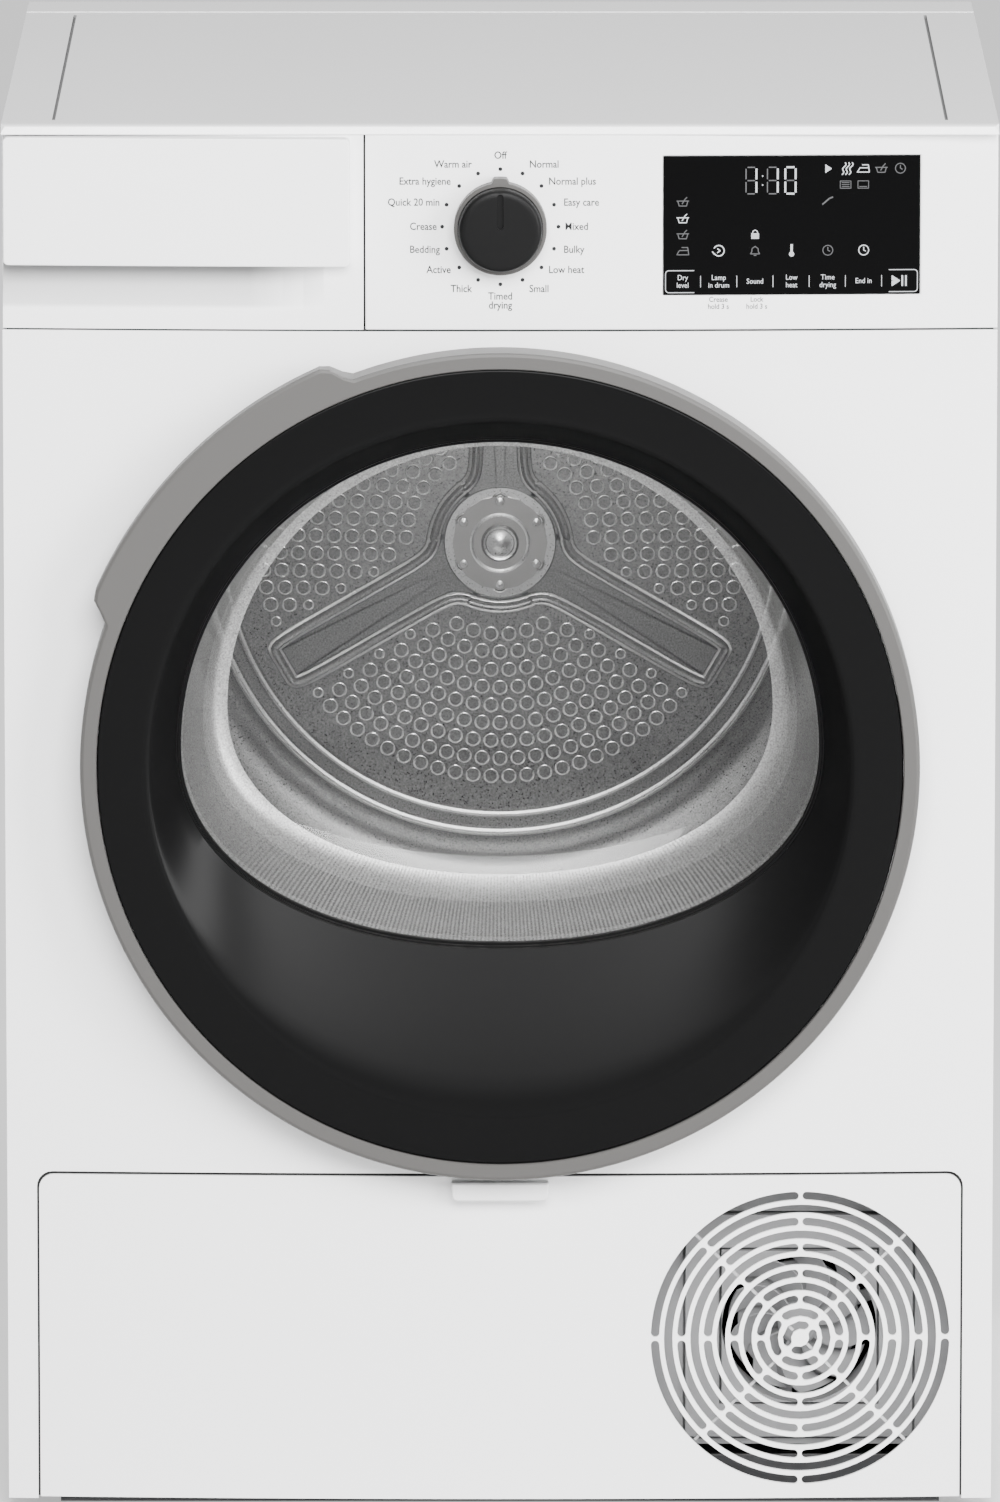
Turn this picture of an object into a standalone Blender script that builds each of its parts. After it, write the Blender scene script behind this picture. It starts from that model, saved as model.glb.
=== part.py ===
"""A front-loading heat-pump tumble dryer, in metres, +Z up, with its door to the front (-Y).

It is drawn with Y = 0 on the front plane and Z = 0 on the floor. Every piece is then moved by Y_SHIFT,
so that the origin lies on the floor under the middle of the whole machine.
"""
import math

import bmesh
import bpy
from mathutils import Matrix, Vector

# Cabinet
HALF = 0.2985  # half the width
HEIGHT = 0.850
DEPTH = 0.570  # of the top cover
BOW = 0.009  # the front's side edges lie this far behind its middle
BOW_STEP = 0.060
SHEET = 0.0012  # side panel thickness
TOP_UNDERSIDE = 0.8435
SEAM = 0.7250  # between the front panel and the panels above it
Y_SHIFT = -0.2815

# Door
DOOR_Z = 0.463
RING_INNER, RING_OUTER, GRIP_OUTER = 0.2425, 0.2523, 0.2655
RING_FRONT = -0.027
HINGE_X, HINGE_Y = 0.238, -0.018
THROAT = 0.2075  # radius of the door opening
GLASS_HALF, GLASS_MID_Z, GLASS_TOP_Z, GLASS_LOW_Z = 0.192, 0.472, 0.6576, 0.3523

# Drum
DRUM_Z = 0.516
DRUM_R = 0.270
DRUM_FRONT, DRUM_REAR = 0.100, 0.500
BELT_Y = (0.246, 0.264)
MOTOR_X, MOTOR_Z = 0.060, 0.120
PULLEY_R = 0.014
IDLER_R = 0.022

# Smaller moving pieces
KNOB_X, KNOB_Z = 0.0002, 0.788
FAN_X, FAN_Z = 0.1825, 0.106
FLAP_HALF, FLAP_LOW, FLAP_TOP = 0.279, 0.008, 0.2078
FLAP_PIVOT_Y, FLAP_PIVOT_Z = 0.006, 0.011
FEET = [(x, y) for x in (-0.236, 0.236) for y in (0.085, 0.500)]

GAP = 0.0003  # between pieces that touch
FINE, MEDIUM, COARSE = 48, 32, 16  # steps round a circle


def circle(radius, y, cx=0.0, cz=0.0, steps=MEDIUM):
    """Points on a circle that faces the front."""
    turn = 2 * math.pi / steps
    return [Vector((cx + radius * math.cos(i * turn), y, cz + radius * math.sin(i * turn))) for i in range(steps)]


def steps_of(count):
    """Evenly spaced angles round a full turn."""
    return [2 * math.pi * i / count for i in range(count)]


def faced(bm):
    """Turns every face outwards."""
    bm.normal_update()
    bmesh.ops.recalc_face_normals(bm, faces=bm.faces)
    return bm


def loft(loops, ring=False):
    """A closed body through matching loops of points, capped at its ends or joined into a ring."""
    bm = bmesh.new()
    rows = [[bm.verts.new(point) for point in loop] for loop in loops]
    pairs = list(zip(rows, rows[1:]))
    if ring:
        pairs.append((rows[-1], rows[0]))
    else:
        bm.faces.new(rows[0])
        bm.faces.new(rows[-1])
    for near, far in pairs:
        for i in range(len(near)):
            j = (i + 1) % len(near)
            bm.faces.new((near[i], near[j], far[j], far[i]))
    return faced(bm)


def turned(profile, cx=0.0, cz=0.0, steps=MEDIUM, ring=False):
    """A body turned about a front-to-back axis from (radius, y) pairs."""
    return loft([circle(radius, y, cx, cz, steps) for radius, y in profile], ring)


def upright(profile, cx, cy, steps=MEDIUM):
    """A body turned about a vertical axis from (radius, z) pairs."""
    bm = loft([circle(radius, 0.0, steps=steps) for radius, _ in profile])
    bm.verts.ensure_lookup_table()
    for i, vert in enumerate(bm.verts):
        vert.co = Vector((vert.co.x + cx, cy + vert.co.z, profile[i // steps][1]))
    return faced(bm)


def prism(outline, axis, low, high):
    """A flat outline pushed along one axis: its two numbers are the other two axes, in X, Y, Z order."""
    place = {
        "x": lambda a, b, t: Vector((t, a, b)),
        "y": lambda a, b, t: Vector((a, t, b)),
        "z": lambda a, b, t: Vector((a, b, t)),
    }[axis]
    return loft([[place(a, b, t) for a, b in outline] for t in (low, high)])


def box(x, y, z):
    """A block between two limits on each axis."""
    return prism([(x[0], z[0]), (x[1], z[0]), (x[1], z[1]), (x[0], z[1])], "y", *y)


def rectangle(x, z, radius=0.0, steps=4):
    """A rectangle's outline, with rounded corners if a radius is given."""
    if not radius:
        return [(x[0], z[0]), (x[1], z[0]), (x[1], z[1]), (x[0], z[1])]
    points = []
    corners = [(x[1], z[1], 0), (x[0], z[1], 90), (x[0], z[0], 180), (x[1], z[0], 270)]
    for cx, cz, start in corners:
        mx = cx - math.copysign(radius, cx - (x[0] + x[1]) / 2)
        mz = cz - math.copysign(radius, cz - (z[0] + z[1]) / 2)
        for i in range(steps + 1):
            angle = math.radians(start + 90 * i / steps)
            points.append((mx + radius * math.cos(angle), mz + radius * math.sin(angle)))
    return points


def plate(outline, holes, y):
    """A flat plate facing the front, with holes through it."""
    bm = bmesh.new()
    for loop in [outline] + holes:
        verts = [bm.verts.new((a, y[0], b)) for a, b in loop]
        for i, vert in enumerate(verts):
            bm.edges.new((vert, verts[(i + 1) % len(verts)]))
    bmesh.ops.triangle_fill(bm, use_beauty=True, use_dissolve=False, edges=bm.edges[:])
    front = bm.faces[:]
    made = bmesh.ops.extrude_face_region(bm, geom=front)
    rear = [item for item in made["geom"] if isinstance(item, bmesh.types.BMVert)]
    bmesh.ops.translate(bm, vec=(0, y[1] - y[0], 0), verts=rear)
    return faced(bm)


def bow_at(x):
    return BOW * (x / HALF) ** 2


def bow(bm, rear=1.0):
    """Curves a piece in plan to follow the cabinet's front. What lies behind rear stays flat."""
    for i in range(-4, 5):
        everything = bm.verts[:] + bm.edges[:] + bm.faces[:]
        bmesh.ops.bisect_plane(bm, geom=everything, plane_co=(i * BOW_STEP, 0, 0), plane_no=(1, 0, 0))
    for vert in bm.verts:
        if vert.co.y < rear:
            vert.co.y += bow_at(vert.co.x)
    return bm


def paint(name, colour, roughness, metallic=0.0, alpha=1.0):
    material = bpy.data.materials.new(name)
    material.use_nodes = True
    shader = material.node_tree.nodes["Principled BSDF"]
    shader.inputs["Base Color"].default_value = (*colour, 1)
    shader.inputs["Roughness"].default_value = roughness
    shader.inputs["Metallic"].default_value = metallic
    shader.inputs["Alpha"].default_value = alpha
    return material


def piece(name, bm, finish, pivot=(0.0, 0.0, 0.0)):
    """One named piece with its own material, its origin on the given pivot."""
    bmesh.ops.translate(bm, vec=-Vector(pivot), verts=bm.verts)
    mesh = bpy.data.meshes.new(name)
    bm.to_mesh(mesh)
    bm.free()
    obj = bpy.data.objects.new(name, mesh)
    obj.location = Vector(pivot) + Vector((0, Y_SHIFT, 0))
    obj.data.materials.append(paint(name, *finish))
    bpy.context.scene.collection.objects.link(obj)
    return obj


def combine(obj, bodies, operation="DIFFERENCE"):
    """Cuts bodies from a piece or adds them to it."""
    for i, bm in enumerate(bodies):
        tool = piece(f"{obj.name}_tool_{i}", bm, HIDDEN)
        tool.hide_render = True
        tool.display_type = "WIRE"
        step = obj.modifiers.new(f"step_{i}", "BOOLEAN")
        step.operation = operation
        step.solver = "EXACT"
        step.object = tool


def soften(obj, width, segments=1):
    step = obj.modifiers.new("edges", "BEVEL")
    step.width = width
    step.segments = segments
    step.limit_method = "ANGLE"
    step.angle_limit = math.radians(50)


WHITE = ((0.86, 0.86, 0.87), 0.35)
WHITE_PLASTIC = ((0.85, 0.85, 0.86), 0.45)
SATIN_GREY = ((0.27, 0.265, 0.26), 0.35, 0.7)
BLACK = ((0.012, 0.012, 0.013), 0.2)
DARK_GREY = ((0.06, 0.06, 0.065), 0.5)
MID_GREY = ((0.25, 0.26, 0.27), 0.5)
GALVANISED = ((0.55, 0.56, 0.58), 0.4, 1.0)
STAINLESS = ((0.62, 0.61, 0.60), 0.3, 1.0)
ALUMINIUM = ((0.75, 0.76, 0.78), 0.35, 1.0)
COPPER = ((0.72, 0.40, 0.25), 0.3, 1.0)
RUBBER = ((0.03, 0.03, 0.03), 0.8)
FELT = ((0.45, 0.43, 0.40), 0.95)
CLEAR = ((0.80, 0.83, 0.84), 0.05, 0.0, 0.3)
HIDDEN = ((0.5, 0.5, 0.5), 0.5)


def build_cabinet():
    """The outer panels, which stay put."""
    # The base is a shallow tray whose thick floor takes the feet.
    low, floor, rim, wall = 0.0035, 0.0200, 0.0320, 0.004
    x, y = (-0.267, 0.267), (0.0145, 0.5560)
    levels = [(0, low), (0, rim), (wall, rim), (wall, floor)]
    loops = []
    for inset, z in levels:
        corners = rectangle((x[0] + inset, x[1] - inset), (y[0] + inset, y[1] - inset))
        loops.append([Vector((a, b, z)) for a, b in corners])
    tray = piece("base_tray", loft(loops), DARK_GREY)
    stepped = [(0.0230, -0.010), (0.0230, 0.0130), (0.0058, 0.0130), (0.0058, 0.0500)]
    combine(tray, [upright(stepped, fx, fy, COARSE) for fx, fy in FEET])

    # Each side is a sheet folded inwards at the front and the rear.
    for name, side in (("side_panel_left", -1), ("side_panel_right", 1)):
        fold, front, rear = 0.013, 0.0205, 0.5660
        outline = [
            (HALF, front), (HALF, rear), (HALF - fold, rear), (HALF - fold, rear - SHEET),
            (HALF - SHEET, rear - SHEET), (HALF - SHEET, front + SHEET), (HALF - fold, front + SHEET),
            (HALF - fold, front),
        ]
        outline = [(side * a, b) for a, b in outline]
        piece(name, prism(outline, "z", 0.012, TOP_UNDERSIDE - GAP), WHITE)

    # The rear panel is open where the warm air enters the drum.
    vent = [(0.165 * math.cos(a), DRUM_Z + 0.165 * math.sin(a)) for a in steps_of(MEDIUM)]
    outlet = rectangle((MOTOR_X - 0.055, MOTOR_X + 0.055), (0.090, 0.200))
    rear = plate(rectangle((-0.296, 0.296), (0.012, TOP_UNDERSIDE - GAP)), [vent, outlet], (0.5665, 0.5677))
    piece("rear_panel", rear, GALVANISED)

    # A pressed pan leads the air up the rear from the fan to the drum.
    def pan(inset, y):
        bottom, radius = 0.080 + inset, 0.190 - inset
        left, right = MOTOR_X - 0.075 + inset, MOTOR_X + 0.075 - inset
        start, stop = -math.acos(right / radius), math.pi + math.acos(-left / radius)
        sweep = [start + (stop - start) * i / 24 for i in range(25)]
        points = [(radius * math.cos(a), DRUM_Z + radius * math.sin(a)) for a in sweep]
        return [Vector((a, y, b)) for a, b in points + [(left, bottom), (right, bottom)]]

    duct = loft([pan(0.0120, 0.5875), pan(0.0020, 0.5682), pan(0.0, 0.5682), pan(0.0100, 0.5900)])
    piece("rear_duct_cover", duct, GALVANISED)

    # The top cover overhangs the front and has a raised strip along its rear edge.
    x = (-HALF, HALF)
    bevel = 0.0025
    profile = [
        (0.0, TOP_UNDERSIDE), (0.0, HEIGHT - bevel), (bevel, HEIGHT - 0.0006), (0.0460, HEIGHT - 0.0006),
        (0.0480, HEIGHT - 0.0012), (0.5040, HEIGHT - 0.0012), (0.5070, HEIGHT), (DEPTH - bevel, HEIGHT),
        (DEPTH, HEIGHT - bevel), (DEPTH, TOP_UNDERSIDE),
    ]
    top = piece("top_cover", prism(profile, "x", *x), WHITE)
    soften(top, 0.002)


def build_front():
    """The bowed front: panel, control panel and display."""
    edge, flap_gap = 0.2983, 0.0016
    side, top = FLAP_HALF + flap_gap, FLAP_TOP + flap_gap
    outline = [
        (-edge, 0.0068), (-side, 0.0068), (-side, top), (side, top), (side, 0.0068), (edge, 0.0068),
        (edge, SEAM - 0.0006), (-edge, SEAM - 0.0006),
    ]
    opening = [(0.2085 * math.cos(a), DOOR_Z + 0.2085 * math.sin(a)) for a in steps_of(FINE)]
    hook_slot = rectangle((-0.2375, -0.2175), (DOOR_Z - 0.014, DOOR_Z + 0.014))
    piece("front_panel", bow(plate(outline, [opening, hook_slot], (0.0, 0.0020))), WHITE)

    panel = box((-0.0806, edge), (0.0, 0.0195), (SEAM + 0.0006, TOP_UNDERSIDE - GAP))
    panel = piece("control_panel", bow(panel, rear=0.010), WHITE_PLASTIC)
    inside = box((-0.0760, 0.2930), (0.0130, 0.030), (0.7310, 0.8380))
    pocket = bow(box((0.0974, 0.2518), (-0.010, 0.0016), (0.7463, 0.8307)))
    shaft_hole = turned([(0.0048, -0.010), (0.0048, 0.020)], KNOB_X, KNOB_Z, COARSE)
    combine(panel, [inside, pocket, shaft_hole])
    glass = bow(box((0.0977, 0.2515), (-0.0004, 0.0012), (0.7466, 0.8304)))
    piece("display_glass", glass, BLACK)

    # The bulkhead carries the door opening's throat and the drum's front seal.
    def frame(y):
        half_x, low, high = 0.283, DOOR_Z - 0.225, DOOR_Z + 0.2540
        points = []
        for a in steps_of(FINE):
            c, s = math.cos(a), math.sin(a)
            reach = min(half_x / abs(c) if c else 9, (high - DOOR_Z if s > 0 else DOOR_Z - low) / abs(s) if s else 9)
            points.append(Vector((reach * c, y, DOOR_Z + reach * s)))
        return points

    throat = [circle(r, y, 0, DOOR_Z, FINE) for r, y in
              ((THROAT, 0.0920), (THROAT, 0.0120), (THROAT + 0.003, 0.0120), (THROAT + 0.003, 0.0880))]
    bulkhead = piece("front_bulkhead", loft([frame(0.0920)] + throat + [frame(0.0880)], ring=True), WHITE_PLASTIC)
    combine(bulkhead, [box((-0.112, 0.112), (0.0330, 0.0620), (0.225, 0.320))])
    seal = turned([(0.2560, 0.0925), (0.2690, 0.0925), (0.2690, 0.0992), (0.2560, 0.0992)], 0, DRUM_Z, FINE, True)
    piece("front_seal", seal, FELT)


def build_door():
    """The door and the parts it hinges and latches on."""
    steps = 60

    def rim(radius, y, grip=True, lift=0.0):
        """The ring's outline. It swells at the upper left, where the rear can lift to let fingers in."""
        points = []
        for i in range(steps):
            degrees = 360 * i / steps
            swell = min(1, max(0, (degrees - 110.4) / 3.2), max(0, (159.9 - degrees) / 3.2))
            reach = radius + (GRIP_OUTER - RING_OUTER) * (swell if grip else 0)
            angle = math.radians(degrees)
            points.append(Vector((reach * math.cos(angle), y - lift * swell, DOOR_Z + reach * math.sin(angle))))
        return points

    pivot = (HINGE_X, HINGE_Y, DOOR_Z)
    inner = RING_OUTER - 0.003
    ring = loft([
        rim(RING_INNER, RING_FRONT, False), rim(RING_OUTER - 0.001, RING_FRONT), rim(RING_OUTER, RING_FRONT + 0.001),
        rim(RING_OUTER, -0.0008, lift=0.0115), rim(inner, -0.0008, lift=0.0115), rim(inner, -0.0222), rim(RING_INNER, -0.0222, False),
    ], ring=True)
    piece("door_ring", ring, SATIN_GREY, pivot)

    def window(grow, y):
        """The glass outline: wide and round at the top, flatter below."""
        points = []
        for a in steps_of(steps):
            c, s = math.cos(a), math.sin(a)
            half, power = (GLASS_TOP_Z - GLASS_MID_Z, 2.0) if s >= 0 else (GLASS_MID_Z - GLASS_LOW_Z, 2.15)
            x = math.copysign(abs(c) ** (2 / power), c) * (GLASS_HALF + grow)
            z = math.copysign(abs(s) ** (2 / power), s) * (half + grow)
            points.append(Vector((x, y, GLASS_MID_Z + z)))
        return points

    # The bezel is a deep dish between the ring and the glass.
    outer = RING_INNER - GAP
    bezel = loft([
        circle(outer, -0.0245, 0, DOOR_Z, steps), circle(outer - 0.002, -0.0255, 0, DOOR_Z, steps),
        circle(0.2150, -0.0250, 0, DOOR_Z, steps), window(0.0040, -0.0120), window(0.0, -0.0020),
        window(0.0, 0.0030), window(0.0060, 0.0030), window(0.0080, -0.0120), circle(0.2100, -0.0214, 0, DOOR_Z, steps),
        circle(outer, -0.0214, 0, DOOR_Z, steps),
    ], ring=True)
    piece("door_bezel", bezel, BLACK, pivot)

    # The glass is a bowl that reaches in towards the drum. Its floor slopes more than its top: each loop
    # has a scale, a rise and a depth.
    shape = [(1.0, 0.0, 0.0036), (0.945, 0.0060, 0.0280), (0.885, 0.0150, 0.0470), (0.55, 0.0150, 0.0570),
             (0.2, 0.0150, 0.0600)]
    middle = Vector((0, 0, GLASS_MID_Z - 0.005))

    def pane(scale, rise, y):
        return [Vector((p.x * scale, y, middle.z + rise + (p.z - middle.z) * scale)) for p in window(0.0020, 0.0)]

    front = [pane(*loop) for loop in reversed(shape)]
    rear = [pane(scale + (0.004 if rise else -0.002), rise, y + 0.004) for scale, rise, y in shape]
    piece("door_glass", loft(front + rear), CLEAR, pivot)

    inner_frame = loft([
        circle(0.2005, 0.0034, 0, DOOR_Z, steps), circle(0.2005, 0.0180, 0, DOOR_Z, steps),
        circle(0.1995, 0.0200, 0, DOOR_Z, steps), window(0.0025, 0.0200), window(0.0025, 0.0034),
    ], ring=True)
    piece("door_inner_frame", inner_frame, MID_GREY, pivot)
    gasket = [(0.2009, 0.0050), (0.2045, 0.0050), (0.2045, 0.0130), (0.2009, 0.0130)]
    piece("door_gasket", turned(gasket, 0, DOOR_Z, steps, True), RUBBER, pivot)

    # The hinge: a sleeve and leaf on the door, round a pin held by two bent ears on the cabinet.
    def about_pin(points):
        return [(HINGE_X + a, HINGE_Y + b) for a, b in points]

    leaf = about_pin([(-0.026, -0.0031), (0.0, -0.0031), (0.0044, -0.0015), (0.0044, 0.0030), (0.0015, 0.0048),
                      (-0.0030, 0.0048), (-0.0055, 0.0010), (-0.026, 0.0010)])
    arm = piece("door_hinge_arm", prism(leaf, "z", DOOR_Z - 0.040, DOOR_Z + 0.040), STAINLESS, pivot)
    bore = upright([(0.0021, DOOR_Z - 0.05), (0.0021, DOOR_Z + 0.05)], HINGE_X, HINGE_Y, COARSE)
    combine(arm, [bore])
    ear = about_pin([(-0.0305, -0.0028), (0.0012, -0.0028), (0.0028, -0.0012), (0.0028, 0.0012), (0.0012, 0.0028),
                     (-0.0235, 0.0028), (-0.0235, 0.0200), (-0.0305, 0.0200)])
    foot = box((HINGE_X - 0.0285, HINGE_X - 0.0180), (0.0008, 0.0032), (DOOR_Z - 0.055, DOOR_Z + 0.055))
    bracket = piece("hinge_bracket", foot, STAINLESS)
    ears = [prism(ear, "z", *sorted((DOOR_Z + s * 0.044, DOOR_Z + s * 0.050))) for s in (-1, 1)]
    pin = upright([(0.0018, DOOR_Z - 0.047), (0.0018, DOOR_Z + 0.047)], HINGE_X, HINGE_Y, COARSE)
    combine(bracket, ears + [pin], "UNION")

    hook = [(-0.0212, -0.0030), (-0.0212, 0.0030), (0.0200, 0.0030), (0.0240, 0.0), (0.0200, -0.0030)]
    hook = [(y, DOOR_Z + 2 * z) for y, z in hook]
    piece("door_hook", prism(hook, "x", -0.2325, -0.2245), MID_GREY, pivot)
    catch = plate(rectangle((-0.2470, -0.2125), (DOOR_Z - 0.022, DOOR_Z + 0.022)),
                  [rectangle((-0.2390, -0.2185), (DOOR_Z - 0.014, DOOR_Z + 0.014))], (0.0090, 0.0300))
    piece("door_catch", catch, MID_GREY)


def build_drum():
    """The drum with what carries and turns it."""
    pivot = (0.0, 0.0, DRUM_Z)
    wall = 0.0015
    shell = [(DRUM_R, DRUM_FRONT), (DRUM_R, DRUM_REAR), (DRUM_R - wall, DRUM_REAR), (DRUM_R - wall, DRUM_FRONT)]
    piece("drum_shell", turned(shell, 0, DRUM_Z, FINE, True), STAINLESS, pivot)
    inner = (DRUM_R - wall) * math.cos(math.pi / FINE)
    back = [
        (0.0350, 0.4850), (0.0560, 0.4920), (0.1700, 0.4920), (0.2050, 0.4860), (0.2450, 0.4880), (inner, 0.4960),
        (inner, 0.4975), (0.2450, 0.4895), (0.2050, 0.4875), (0.1700, 0.4935), (0.0560, 0.4935), (0.0350, 0.4865),
    ]
    piece("drum_back", turned(back, 0, DRUM_Z, FINE), STAINLESS, pivot)
    shaft = [(0.0300, 0.4870), (0.0300, 0.5050), (0.0100, 0.5050), (0.0100, 0.5740)]
    piece("drum_shaft", turned(shaft, 0, DRUM_Z, COARSE), STAINLESS, pivot)

    # Three lifters on the inside of the shell, each a hollow-looking ridge that narrows inwards.
    for i in range(3):
        base, crest = 0.2664, 0.2340
        section = [(-0.026, base), (0.026, base), (0.012, crest + 0.006), (0.007, crest), (-0.007, crest),
                   (-0.012, crest + 0.006)]
        lifter = prism(section, "y", 0.125, 0.470)
        turn = Matrix.Rotation(math.radians(120 * i), 4, "Y")
        bmesh.ops.transform(lifter, matrix=Matrix.Translation(pivot) @ turn, verts=lifter.verts)
        piece(f"lifter_{i + 1}", lifter, STAINLESS, pivot)

    bar = [(-0.180, -0.022), (-0.050, -0.022), (-0.030, -0.042), (0.030, -0.042), (0.050, -0.022), (0.180, -0.022),
           (0.180, 0.022), (0.050, 0.022), (0.030, 0.042), (-0.030, 0.042), (-0.050, 0.022), (-0.180, 0.022)]
    bar = [(a, DRUM_Z + b) for a, b in bar]
    hole = [(0.0108 * math.cos(a), DRUM_Z + 0.0108 * math.sin(a)) for a in steps_of(COARSE)]
    piece("rear_bearing", plate(bar, [hole], (0.5540, 0.5660)), GALVANISED)
    seal = [(0.2560, 0.5005), (0.2690, 0.5005), (0.2690, 0.5070), (0.2560, 0.5070)]
    piece("rear_seal", turned(seal, 0, DRUM_Z, FINE, True), FELT)

    # The belt runs round the drum and down to the motor's pulley.
    inside, thick = DRUM_R + 0.0012, 0.0022
    dx, dz = MOTOR_X, MOTOR_Z - DRUM_Z
    reach = math.hypot(dx, dz)
    heading = math.atan2(dz, dx)

    def belt(grow, y):
        big, small = inside + grow, PULLEY_R + 0.0006 + grow
        spread = math.acos((big - small) / reach)
        points = []
        for i in range(49):
            a = heading + spread + (2 * math.pi - 2 * spread) * i / 48
            points.append(Vector((big * math.cos(a), y, DRUM_Z + big * math.sin(a))))
        for i in range(9):
            a = heading - spread + 2 * spread * i / 8
            points.append(Vector((MOTOR_X + small * math.cos(a), y, MOTOR_Z + small * math.sin(a))))
        return points

    loops = [belt(0, BELT_Y[0]), belt(thick, BELT_Y[0]), belt(thick, BELT_Y[1]), belt(0, BELT_Y[1])]
    piece("drum_belt", loft(loops, ring=True), RUBBER)

    # The idler presses on the belt from outside, half way down its right-hand run.
    spread = math.acos((inside - PULLEY_R) / reach)
    normal = Vector((math.cos(heading + spread), 0, math.sin(heading + spread)))
    tip = Vector((MOTOR_X, 0, MOTOR_Z)) + normal * (PULLEY_R + 0.0006 + thick + 0.0007 + IDLER_R)
    along = Vector((normal.z, 0, -normal.x))
    if along.z < 0:
        along = -along
    centre = tip + along * 0.060
    wheel = [(IDLER_R, BELT_Y[0] - 0.002), (IDLER_R, BELT_Y[1] + 0.002)]
    piece("idler_pulley", turned(wheel, centre.x, centre.z, COARSE), MID_GREY, (centre.x, 0, centre.z))

    motor = (MOTOR_X, 0.0, MOTOR_Z)
    pulley = [(PULLEY_R, BELT_Y[0] - 0.001), (PULLEY_R, BELT_Y[1] + 0.001), (0.006, BELT_Y[1] + 0.001), (0.006, 0.328)]
    piece("motor_pulley", turned(pulley, MOTOR_X, MOTOR_Z, COARSE), STAINLESS, motor)
    body = [(0.030, 0.330), (0.050, 0.337), (0.050, 0.448), (0.030, 0.455)]
    housing = piece("motor_housing", turned(body, MOTOR_X, MOTOR_Z, 24), GALVANISED)
    combine(housing, [box((MOTOR_X - 0.035, MOTOR_X + 0.035), (0.345, 0.440), (0.0205, 0.0900))], "UNION")
    piece("process_fan", impeller(0.020, 0.068, 9, 0.470, 0.505), MID_GREY, motor)

    # Two rollers carry the drum's front edge.
    radius, side = 0.025, 0.170
    for name, x in (("roller_left", -side), ("roller_right", side)):
        z = DRUM_Z - math.sqrt((DRUM_R + radius + 0.0009) ** 2 - side ** 2)
        wheel = [(0.005, 0.0925), (0.005, 0.1080), (radius, 0.1080), (radius, 0.1260)]
        piece(name, turned(wheel, x, z, 20), DARK_GREY, (x, 0, z))




def impeller(hub, tip, blades, front, rear):
    """A one-piece fan about the motor's axis: each blade leans back as it leaves the hub."""
    outline = []
    for i in range(blades):
        start = 2 * math.pi * i / blades
        for radius, lag in ((hub, 0.0), (tip * 0.7, -0.12), (tip, -0.34), (tip, -0.25), (tip * 0.7, 0.0), (hub, 0.2)):
            outline.append((radius * math.cos(start + lag), radius * math.sin(start + lag)))
    outline = [(MOTOR_X + a, MOTOR_Z + b) for a, b in outline]
    return prism(outline, "y", front, rear)


def build_heat_pump():
    """Everything in the base, behind the service flap."""
    soften(piece("evaporator", box((-0.212, -0.050), (0.045, 0.170), (0.0205, 0.185)), ALUMINIUM), 0.004)
    soften(piece("condenser", box((-0.212, -0.050), (0.180, 0.350), (0.0205, 0.185)), ALUMINIUM), 0.004)
    can = [(0.050, 0.0205), (0.058, 0.032), (0.058, 0.160), (0.050, 0.182), (0.025, 0.192)]
    piece("compressor", upright(can, 0.190, 0.320, 24), BLACK)
    path = [(0.190, 0.320, 0.1925), (0.190, 0.320, 0.2100), (0.175, 0.300, 0.2180), (0.020, 0.296, 0.2180),
            (-0.080, 0.290, 0.2100), (-0.090, 0.290, 0.1900)]
    curve = bpy.data.curves.new("refrigerant_pipe", "CURVE")
    curve.dimensions = "3D"
    curve.bevel_depth = 0.004
    curve.bevel_resolution = 1
    curve.use_fill_caps = True
    line = curve.splines.new("POLY")
    line.points.add(len(path) - 1)
    for point, place in zip(line.points, path):
        point.co = (*place, 1)
    pipe = bpy.data.objects.new("refrigerant_pipe", curve)
    pipe.location = (0, Y_SHIFT, 0)
    curve.materials.append(paint("refrigerant_pipe", *COPPER))
    bpy.context.scene.collection.objects.link(pipe)

    cover = piece("exchanger_cover", box((-0.260, 0.060), (0.0260, 0.0340), (0.045, 0.195)), DARK_GREY)
    soften(cover, 0.003)
    for name, x in (("latch_left", -0.235), ("latch_right", 0.035)):
        lever = prism(rectangle((x - 0.008, x + 0.008), (0.105, 0.150), 0.0075, 3), "y", 0.0180, 0.0250)
        piece(name, lever, MID_GREY, (x, 0, 0.120))

    # The cooling fan sits in a square shroud behind the grille.
    hole = [(FAN_X + 0.047 * math.cos(a), FAN_Z + 0.047 * math.sin(a)) for a in steps_of(MEDIUM)]
    x, z = (FAN_X - 0.094, FAN_X + 0.094), (FAN_Z - 0.073, FAN_Z + 0.088)
    piece("fan_shroud", plate(rectangle(x, z, 0.006, 2), [hole], (0.0360, 0.0620)), MID_GREY)
    fan = impeller(0.013, 0.044, 7, 0.0420, 0.0560)
    bmesh.ops.translate(fan, vec=(FAN_X - MOTOR_X, 0, FAN_Z - MOTOR_Z), verts=fan.verts)
    piece("cooling_fan", fan, DARK_GREY, (FAN_X, 0, FAN_Z))

    pump = upright([(0.032, 0.0205), (0.032, 0.070), (0.018, 0.074), (0.018, 0.100)], -0.190, 0.480, 20)
    piece("condensate_pump", pump, MID_GREY)
    soften(piece("main_board", box((0.110, 0.270), (0.040, 0.220), (0.800, 0.835)), DARK_GREY), 0.003)
    gland = turned([(0.016, 0.5682), (0.016, 0.5730), (0.009, 0.5730), (0.007, 0.5860)], 0.235, 0.100, COARSE)
    piece("mains_inlet", gland, RUBBER)


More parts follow.
